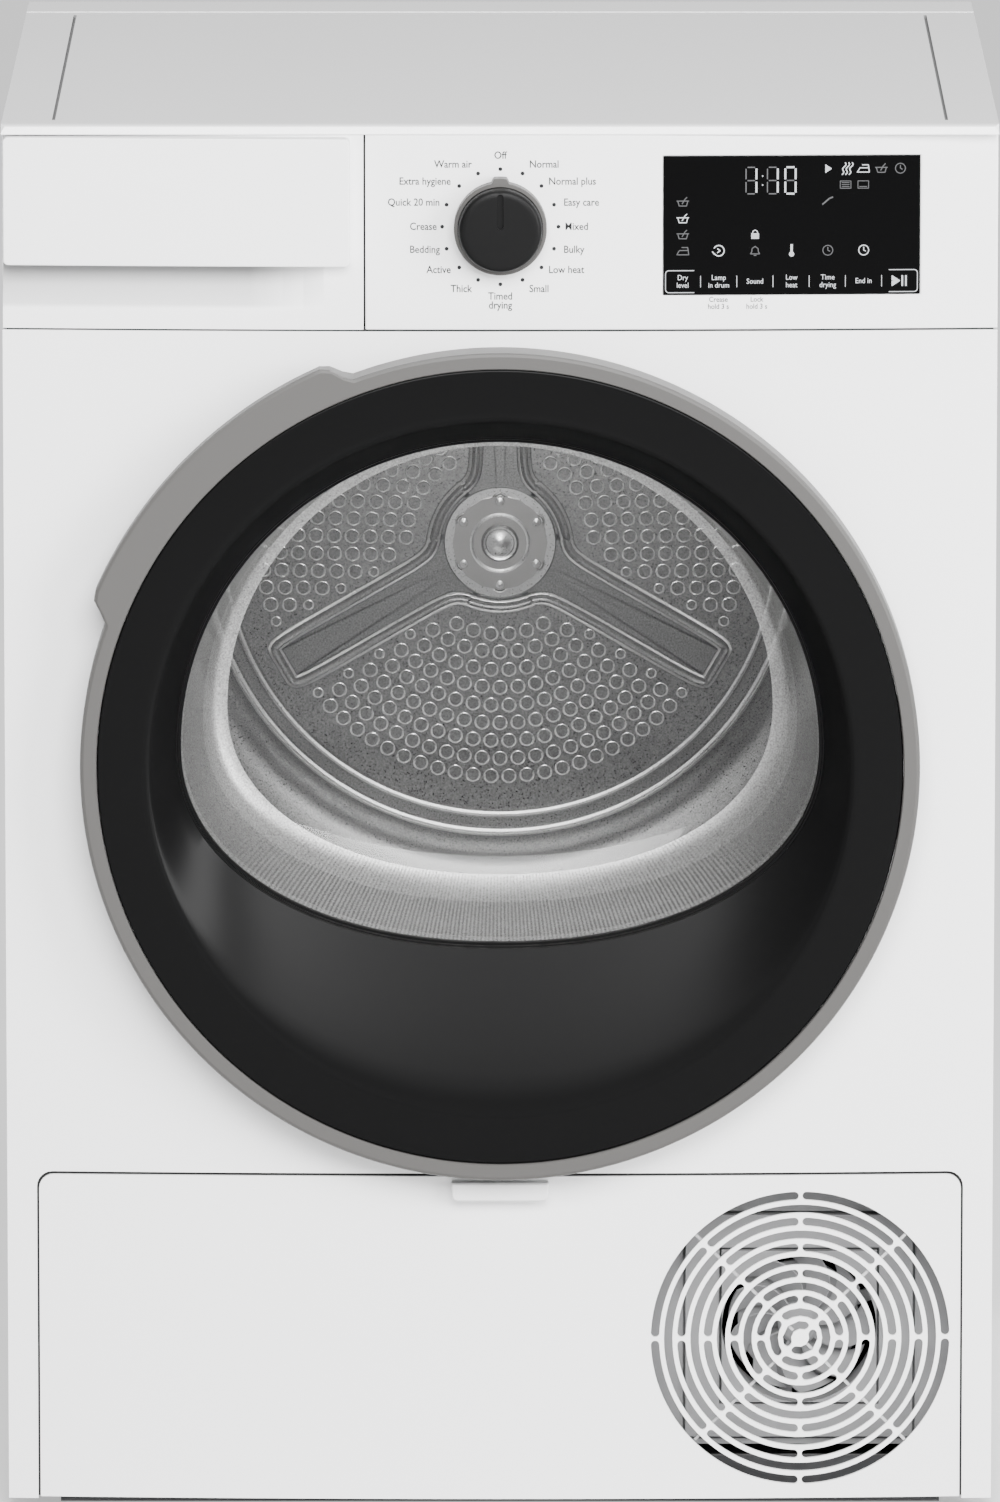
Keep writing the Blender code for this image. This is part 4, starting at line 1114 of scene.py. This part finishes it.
# %% Dial marks
marks = []
for i in range(16):
    turn = math.radians(22.5 * i)
    dot_x, dot_z = KNOB_X + 0.0348 * math.cos(turn), KNOB_Z + 0.0348 * math.sin(turn)
    marks.append(turned([(0.0012, -0.00015), (0.0012, 0.0)], dot_x, dot_z, 16))
SMALL = 0.0063
for words, dx, dz, align in [
    ("Off", 0, 0.0430, "CENTER"), ("Normal", 0.0173, 0.0376, "LEFT"),
    ("Normal plus", 0.0288, 0.0273, "LEFT"),
    ("Easy care", 0.0378, 0.0146, "LEFT"), ("Mixed", 0.0386, 0.0, "LEFT"),
    ("Bulky", 0.0378, -0.0139, "LEFT"),
    ("Low heat", 0.0288, -0.0261, "LEFT"), ("Small", 0.0173, -0.0376, "LEFT"),
    ("Timed", 0, -0.0421, "CENTER"),
    ("drying", 0, -0.0476, "CENTER"), ("Thick", -0.0171, -0.0376, "RIGHT"),
    ("Active", -0.0296, -0.0261, "RIGHT"),
    ("Bedding", -0.0362, -0.0139, "RIGHT"), ("Crease", -0.0380, 0.0, "RIGHT"),
    ("Quick 20 min", -0.0362, 0.0146, "RIGHT"),
    ("Extra hygiene", -0.0296, 0.0273, "RIGHT"), ("Warm air", -0.0171, 0.0376, "RIGHT"),
]:
    marks.append(lettering(words, SMALL, KNOB_X + dx, KNOB_Z + dz, align))
for words, x, z in (("Crease", 0.1308, 0.7437), ("hold 3 s", 0.1308, 0.7394), ("Lock", 0.1538, 0.7437),
                    ("hold 3 s", 0.1538, 0.7394)):
    marks.append(lettering(words, 0.0044, x, z, bold=0.00004))
settle("dial_marks", wrap_on_front(joined(marks)), "cabinet", "ink", weighted=False)

# %% [markdown]
# ## The lit display
#
# The time is drawn in seven-segment digits. Unlit segments and symbols stay faintly visible, as they do
# behind dark glass, through a weak painted glow. Each symbol is a few strokes: waves for steam, a flat iron,
# a basket, a bell, a thermometer, a clock and a padlock.

# %% Display symbols
SCREEN_X, SCREEN_Z = (SCREEN_LOW.x + SCREEN_HIGH.x) / 2, (SCREEN_LOW.z + SCREEN_HIGH.z) / 2
GLOW_LIFT = 0.00035
lit, dim = [], []


def draw(chosen, x, z, points, width=0.55, closed=False):
    """A line through points near (x, z). All are in millimetres, and (0, 0) is the display's middle."""
    placed = [(SCREEN_X + (x + a) / 1000, SCREEN_Z + (z + b) / 1000) for a, b in points]
    chosen.extend(path(placed, width / 1000, closed, GLOW_LIFT))


def digit(x, z, on):
    """Seven segments, clockwise from the top, and the middle one last."""
    corners = [Vector(c) for c in ((-3.1, 8), (3.1, 8), (3.1, 0), (3.1, -8), (-3.1, -8), (-3.1, 0))]
    for segment, (a, b) in zip("abcdefg", [(0, 1), (1, 2), (2, 3), (3, 4), (4, 5), (5, 0), (5, 2)]):
        inset = (corners[b] - corners[a]).normalized()
        chosen, width = (lit, 1.1) if segment in on else (dim, 0.7)
        draw(chosen, x, z, [corners[a] + inset, corners[b] - inset], width)


def triangle(x, z, back, half, tip, steps):
    """A filled arrow that points right: chevrons, each one flatter than the last."""
    for step in range(steps):
        reach = half * (1 - step / steps)
        draw(lit, x, z, [(back, reach), (tip, 0), (back, -reach)])


SYMBOLS = {
    "basket": [[(-3.0, 0.6), (-2.2, -2.4), (2.2, -2.4), (3.0, 0.6)], [(-3.6, 0.6), (3.6, 0.6)],
               [(-0.4, -1.2), (1.2, 1.6), (2.4, 2.8)]],
    "iron": [[(-3.6, -2.2), (3.6, -2.2), (3.0, 2.2), (-0.6, 2.2)], [(-3.6, -2.2), (-2.0, 0.4), (3.2, 0.4)]],
    "clock": [arc(0, 0, 3.0), [(0, 1.8), (0, 0), (1.2, -0.6)]],
}


def symbol(chosen, name, x, z):
    for line in SYMBOLS[name]:
        draw(chosen, x, z, line)


def sheet_mark(x, z, lines):
    draw(dim, x, z, [(-3.2, -2.2), (3.2, -2.2), (3.2, 2.2), (-3.2, 2.2)], 0.44, closed=True)
    for level in range(lines):
        draw(dim, x, z - 1.2 + 1.2 * level, [(-2.2, 0), (2.2, 0)], 0.44)


TOP_ROW, TIME_ROW, LEFT_COLUMN = 34.1, 27.1, -65.2
for x, segments in ((-24.3, "bc"), (-11.5, "bc"), (-0.8, "abcdef")):
    digit(x, TIME_ROW, segments)
for dz in (-2.7, 2.7):
    draw(lit, -17.5, TIME_ROW + dz, [(-0.1, 0), (0.1, 0)], 0.9)
draw(lit, 20.4, TOP_ROW, [(0, -2.4), (0, 2.4)])
triangle(21.4, TOP_ROW, -1.2, 2.2, 2.2, 5)
for column in (-1, 0, 1):
    wave = [(2.1 * column + 0.7 * math.sin(1.2 * step) + 0.25 * step, 0.9 * step - 3.6) for step in range(9)]
    draw(lit, 32.2, TOP_ROW, wave, 0.66)
for chosen, name, x, z in [
    (lit, "iron", 42.8, TOP_ROW), (dim, "basket", 53.6, TOP_ROW), (dim, "clock", 65.0, TOP_ROW),
    (dim, "basket", LEFT_COLUMN, 14.3), (lit, "basket", LEFT_COLUMN, 4.2),
    (dim, "basket", LEFT_COLUMN, -5.5),
    (dim, "iron", LEFT_COLUMN, -15.4),
]:
    symbol(chosen, name, x, z)
sheet_mark(32.2, TOP_ROW - 9.7, 3)
sheet_mark(42.8, TOP_ROW - 9.7, 1)
draw(dim, 18.5, TOP_ROW - 21.5, [(0, 0), (4.0, 3.5), (6.0, 4.3)], 0.88)

# %% [markdown]
# The lower row belongs to the touch keys, which are marked by an outlined strip of short words.

# %% Display keys
KEY_ROW = -15.2
KEYS = [-43.6, -21.9, 0, 21.7, 43.2]
draw(lit, KEYS[0], KEY_ROW, arc(0, 0, 3.2, -150, 150), 0.66)
draw(lit, KEYS[0], KEY_ROW, [(-3.8, -0.6), (-2.6, -2.2)], 0.66)
draw(lit, KEYS[0], KEY_ROW, [(-0.8, 1.2), (0.8, 0), (-0.8, -1.2)], 0.66)
bell = [(-2.8, -2.0), (-2.0, -0.8), (-1.8, 1.2), (0, 2.6), (1.8, 1.2), (2.0, -0.8), (2.8, -2.0)]
draw(dim, KEYS[1], KEY_ROW, bell, closed=True)
draw(dim, KEYS[1], KEY_ROW, [(-0.7, -2.9), (0.7, -2.9)])
for level in range(5):
    draw(lit, KEYS[1], KEY_ROW + 7.4 + 0.7 * level, [(-2.2, 0), (2.2, 0)])
draw(lit, KEYS[1], KEY_ROW + 10.8, arc(0, 0, 1.5, 0, 180, 8))
draw(lit, KEYS[2], KEY_ROW, [(0, 3.4), (0, -1.4)], 1.43)
draw(lit, KEYS[2], KEY_ROW, arc(0, -2.2, 0.9, steps=8), 1.32)
symbol(dim, "clock", KEYS[3], KEY_ROW)
symbol(lit, "clock", KEYS[4], KEY_ROW)
side, bottom = 500 * (SCREEN_HIGH.x - SCREEN_LOW.x) - 3.4, -500 * (SCREEN_HIGH.z - SCREEN_LOW.z) + 3.4
strip = [(side, bottom + 9.3, 0), (-side, bottom + 9.3, 90), (-side, bottom, 180), (side, bottom, 270)]
strip = [point for x, z, start in strip for point in arc(x, z, 2.0, start, start + 90, 5)]
draw(lit, 0, 0, strip, 0.45, closed=True)
WORD_ROW = bottom + 4.65
for divider in range(6):
    draw(lit, -54.5 + 21.7 * divider, WORD_ROW, [(0, -3.4), (0, 3.4)], 0.35)
for x, *words in ((-65.2, "Dry", "level"), (-43.6, "Lamp", "in drum"), (-21.9, "Sound"), (0, "Low", "heat"),
                  (21.7, "Time", "drying"), (43.2, "End in")):
    for row, word in enumerate(words):
        z = WORD_ROW + (2.3 - 4.6 * row if len(words) > 1 else 0)
        lit.append(lettering(word, 0.0045, SCREEN_X + x / 1000, SCREEN_Z + z / 1000, "CENTER", GLOW_LIFT,
                             0.0))
triangle(62.2, WORD_ROW, -2.0, 3.0, 2.6, 6)
for x in (66.4, 68.6):
    draw(lit, x, WORD_ROW, [(0, -3.0), (0, 3.0)], 1.0)
settle("lit_symbols", wrap_on_front(joined(lit)), "cabinet", "symbol_lit", weighted=False)
# The unlit symbols glow weakly: painted light.
settle("dim_symbols", wrap_on_front(joined(dim)), "cabinet", "symbol_dim", weighted=False)

# %% [markdown]
# ## The service flap and its grille
#
# The grille is eleven rings of curved slots, eight millimetres apart. Ribs cross the even rings on the
# diagonals and the odd rings upright and level, so no rib runs straight through. Each slot starts as a
# straight bar with round ends and is wrapped around the grille's middle.

# %% Service flap
SLOT = 0.0052


def arc_slot(radius, start, stop):
    reach = math.radians(stop - start) * radius - 0.0022
    slot_bar = block((-reach / 2, -0.01, -SLOT / 2), (reach / 2, 0.02, SLOT / 2))
    rounded(slot_bar, SLOT / 2 - 0.00002, 4, choose=runs_back)
    cuts = max(2, int(reach / 0.005))
    for i in range(1, cuts):
        bmesh.ops.bisect_plane(slot_bar, geom=slot_bar.verts[:] + slot_bar.edges[:] + slot_bar.faces[:],
                               plane_co=(-reach / 2 + reach * i / cuts, 0, 0), plane_no=(1, 0, 0))
    for vert in slot_bar.verts:
        angle = math.radians((start + stop) / 2) - vert.co.x / radius
        far = radius + vert.co.z
        vert.co = Vector((FAN_X + far * math.cos(angle), vert.co.y, FAN_Z + far * math.sin(angle)))
    slot_bar.normal_update()
    bmesh.ops.recalc_face_normals(slot_bar, faces=slot_bar.faces)
    return slot_bar


slots = [arc_slot(0.008, 45, 225), arc_slot(0.008, 225, 405)]
for ring_number in range(2, 12):
    first = 0 if ring_number % 2 else 45
    slots += [arc_slot(0.008 * ring_number, first + 90 * i, first + 90 * i + 90) for i in range(4)]
flap_sheet = block((-FLAP_HALF, 0, FLAP_LOW.z), (FLAP_HALF, 0.0025, FLAP_TOP))


def is_flap_top_corner(edge):
    a, b = (v.co for v in edge.verts)
    return near(abs(a.x), FLAP_HALF) and near(b.x, a.x) and near(a.z, FLAP_TOP) and near(b.z, FLAP_TOP)


rounded(flap_sheet, 0.0087, 6, choose=is_flap_top_corner)
flap_sheet = carved(bend(flap_sheet), [joined(slots)])
settle("flap_sheet", flap_sheet, "flap", "white_enamel", ["service_flap"], bevel=0.0004)
struts = []
for i in range(4):
    strut = block((0.0060, 0.0030, -0.0008), (0.0900, 0.0056, 0.0008))
    middle = Matrix.Translation((FAN_X, bow_at(FAN_X), FAN_Z)) @ Matrix.Rotation(-math.radians(45 + 90 * i),
            4, "Y")
    bmesh.ops.transform(strut, matrix=middle, verts=strut.verts)
    struts.append(strut)
settle("grille_struts", joined(struts), "flap", "strut_grey", weighted=False)
# A greyer copy of the white plastic: painted shade on the tab, so it stands out from the flap.
finish("tab_white", (0.74, 0.74, 0.745), 0.42, drift=0.02, texture=1500, height=0.03)
tab = block((-0.0295, -0.0098, 0.1942), (0.0295, -0.0004, 0.2057))
rounded(tab, 0.0040, 4, choose=lambda edge: runs_back(edge) and edge.verts[0].co.z < 0.2)
rounded(tab, 0.0012, 2, choose=lambda edge: all(near(v.co.y, FRONT_Y - 0.0098) for v in edge.verts),
        limit=60)
settle("flap_tab", tab, "flap", "tab_white", ["flap_handle"], bevel=0.0008)

# %% [markdown]
# ## The cooling fan
#
# Behind the grille a moulded housing has a square rim, a second square step and a round opening. Nine
# blades are grids, swept back and pitched, then given thickness with Solidify.

# %% Fan and housing
SHROUD_LOW, SHROUD_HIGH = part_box("fan_shroud")
BLADE_TIP = (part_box("cooling_fan")[1].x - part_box("cooling_fan")[0].x) / 2 - 0.0004
housing = block((SHROUD_LOW.x, 0.0420, SHROUD_LOW.z), (SHROUD_HIGH.x, 0.0610, SHROUD_HIGH.z))
for half, front in ((0.0690, 0.0385), (0.0470, 0.0362)):
    step_block = block((FAN_X - half, front, FAN_Z - half), (FAN_X + half, 0.0500, FAN_Z + half))
    rounded(step_block, 0.004, 3, choose=runs_back)
    housing = carved(housing, [step_block], "UNION")
    trench = block((FAN_X - half - 0.0016, front + 0.0034 if half > 0.05 else front + 0.0022,
                    FAN_Z - half - 0.0016),
                   (FAN_X + half + 0.0016, 0.0500, FAN_Z + half + 0.0016))
    keep = block((FAN_X - half - 0.0002, front - 0.01, FAN_Z - half - 0.0002),
                 (FAN_X + half + 0.0002, 0.0520, FAN_Z + half + 0.0002))
    housing = carved(housing, [carved(trench, [keep])])
housing = carved(housing, [round_hole(FAN_X, FAN_Z, 0.0470, (0.0, 0.07))])
settle("fan_housing", housing, "cabinet", "light_grey_plastic", ["fan_shroud"], bevel=0.0006)
blades = [turned([(0.0010, 0.0430), (0.0095, 0.0432), (0.0122, 0.0448), (0.0130, 0.0470), (0.0130, 0.0555),
                  (0.0010, 0.0555)],
                 FAN_X, FAN_Z, 64)]
for i in range(9):
    blade = bmesh.new()
    bmesh.ops.create_grid(blade, x_segments=8, y_segments=5, size=0.5)
    for vert in blade.verts:
        out, across = vert.co.x + 0.5, vert.co.y + 0.5
        radius = 0.0120 + (BLADE_TIP - 0.0120) * out
        angle = 2 * math.pi * i / 9 + 0.55 * out * out + across * (0.62 - 0.12 * out)
        depth = 0.0440 + 0.0100 * across + 0.0010 * math.sin(math.pi * across)
        vert.co = Vector((FAN_X + radius * math.cos(angle), FRONT_Y + depth,
                          FAN_Z + radius * math.sin(angle)))
    bmesh.ops.recalc_face_normals(blade, faces=blade.faces)
    bmesh.ops.solidify(blade, geom=blade.faces[:], thickness=0.0010)
    blades.append(blade)
settle("fan_wheel", joined(blades), "fan", "light_grey_plastic", ["cooling_fan"],
       weighted=False, sharp=50)
plate = [turned([(0.0370, 0.0575), (0.0370, 0.0605), (0.0010, 0.0605), (0.0010, 0.0575)], FAN_X, FAN_Z, 64)]
for i in range(3):
    arm = block((0.0300, 0.0578, -0.0040), (0.0500, 0.0602, 0.0040))
    turn = Matrix.Translation((FAN_X, 0, FAN_Z)) @ Matrix.Rotation(-math.radians(20 + 120 * i), 4, "Y")
    bmesh.ops.transform(arm, matrix=turn, verts=arm.verts)
    plate.append(arm)
settle("fan_motor_plate", joined(plate), "cabinet", "light_grey_plastic", bevel=0.0004)

# %% [markdown]
# ## The rear
#
# A pressed pan leads warm air up to the drum. Its outline is a disc with a leg, found by the distance
# from the drum's axis to the edge at each angle. Screws hold the panel and the pan, and are small turned
# heads.

# %% Rear pan and screws
PAN_LOW, PAN_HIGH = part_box("rear_duct_cover")
LEG_X = (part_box("motor_pulley")[0].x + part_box("motor_pulley")[1].x) / 2


def pan_at(inset, y):
    def point(angle):
        c, s = math.cos(angle), math.sin(angle)
        reach = PAN_HIGH.z - DRUM_Z - inset
        if s < -0.01:
            side = (LEG_X + 0.075 - inset) / c if c > 1e-6 else (LEG_X - 0.075 + inset) / min(c, -1e-6)
            reach = max(reach, min(side, (DRUM_Z - PAN_LOW.z - inset) / -s))
        return Vector((reach * c, FRONT_Y + y, DRUM_Z + reach * s))
    return point


pan = rings([pan_at(0.0120, 0.5875), pan_at(0.0020, 0.5682), pan_at(0.0, 0.5682), pan_at(0.0004, 0.5694),
             pan_at(0.0084, 0.5886),
             pan_at(0.0094, 0.5897), pan_at(0.0112, 0.5900), pan_at(0.0300, 0.5900), pan_at(0.0330, 0.5890)],
             720)
settle("rear_pan", pan, "cabinet", "galvanised", ["rear_duct_cover"])
spots = [(side * 0.284, 0.05 + 0.185 * i) for side in (-1, 1) for i in range(5)]
spots += [(x, z) for x in (-0.15, 0.0, 0.15) for z in (0.030, 0.800)]
spots += [(0.205 * math.cos(math.radians(a)), DRUM_Z + 0.205 * math.sin(math.radians(a)))
          for a in range(10, 211, 40)]
screws = [turned([(0.0048, 0.5676), (0.0048, 0.5683), (0.0038, 0.5684), (0.0036, 0.5694), (0.0026, 0.5699),
                  (0.0012, 0.5699),
                  (0.0010, 0.5692)], x, z, 24) for x, z in spots]
settle("rear_screws", joined(screws), "cabinet", "brushed_steel")

# %% [markdown]
# ## The rest of the frame
#
# What the camera hardly sees keeps its CAD shape: panels, tray, drum wall, heat pump and feet. Each one
# gets a finish that suits its material.

# %% Finish the CAD nodes
CAD_FINISH = {
    "white_enamel": ["side_panel_left", "side_panel_right"],
    "white_plastic": ["front_bulkhead", "tank_body"],
    "dark_plastic": ["base_tray", "exchanger_cover", "main_board", "roller_left", "roller_right"],
    "grey_plastic": ["door_inner_frame", "door_hook", "door_catch", "process_fan", "latch_left",
                     "latch_right",
                     "condensate_pump", "tank_lid", "lint_filter"],
    "knob_black": ["compressor"],
    "galvanised": ["rear_panel", "rear_bearing", "motor_housing", "tank_shelf", "idler_pulley"],
    "pressed_steel": ["drum_shell", "lifter_1", "lifter_2", "lifter_3"],
    "brushed_steel": ["door_hinge_arm", "hinge_bracket", "drum_shaft", "motor_pulley"],
    "fin_aluminium": ["evaporator", "condenser"],
    "copper_tube": ["refrigerant_pipe"],
    "rubber": ["door_gasket", "drum_belt", "mains_inlet", "foot_left_front", "foot_left_rear",
               "foot_right_front",
               "foot_right_rear"],
    "felt": ["front_seal", "rear_seal"],
}
for finish_name, names in CAD_FINISH.items():
    for node_name in names:
        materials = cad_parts[node_name].data.materials
        if materials:
            materials[0] = FINISHES[finish_name]
        else:
            materials.append(FINISHES[finish_name])
print("CAD nodes finished:", sum(len(names) for names in CAD_FINISH.values()))

# %% [markdown]
# ## The floor
#
# A plain pale floor, big enough to fill the view under the machine. It looks brighter to the camera than
# it lights the machine, so the background turns white and the front isn't lit from below.

# %% Floor
floor = bmesh.new()
bmesh.ops.create_grid(floor, x_segments=1, y_segments=1, size=30)
floor_mesh = bpy.data.meshes.new("floor")
floor.to_mesh(floor_mesh)
floor.free()
floor_object = bpy.data.objects.new("floor", floor_mesh)
floor_object.location = (0, 0, -0.0005)
bpy.context.scene.collection.objects.link(floor_object)
finish("floor_paint", (0.62, 0.62, 0.62), 0.8, specular=0.1, drift=0.01, texture=40, height=0.01, dust=0.0)
floor_paint = FINISHES["floor_paint"].node_tree
floor_path = floor_paint.nodes.new("ShaderNodeLightPath")
glow = times(floor_paint, floor_path.outputs["Is Camera Ray"], 0.55)
floor_paint.links.new(glow, shader_of(FINISHES["floor_paint"]).inputs["Emission Strength"])
shader_of(FINISHES["floor_paint"]).inputs["Emission Color"].default_value = (1, 1, 1, 1)
floor_mesh.materials.append(FINISHES["floor_paint"])
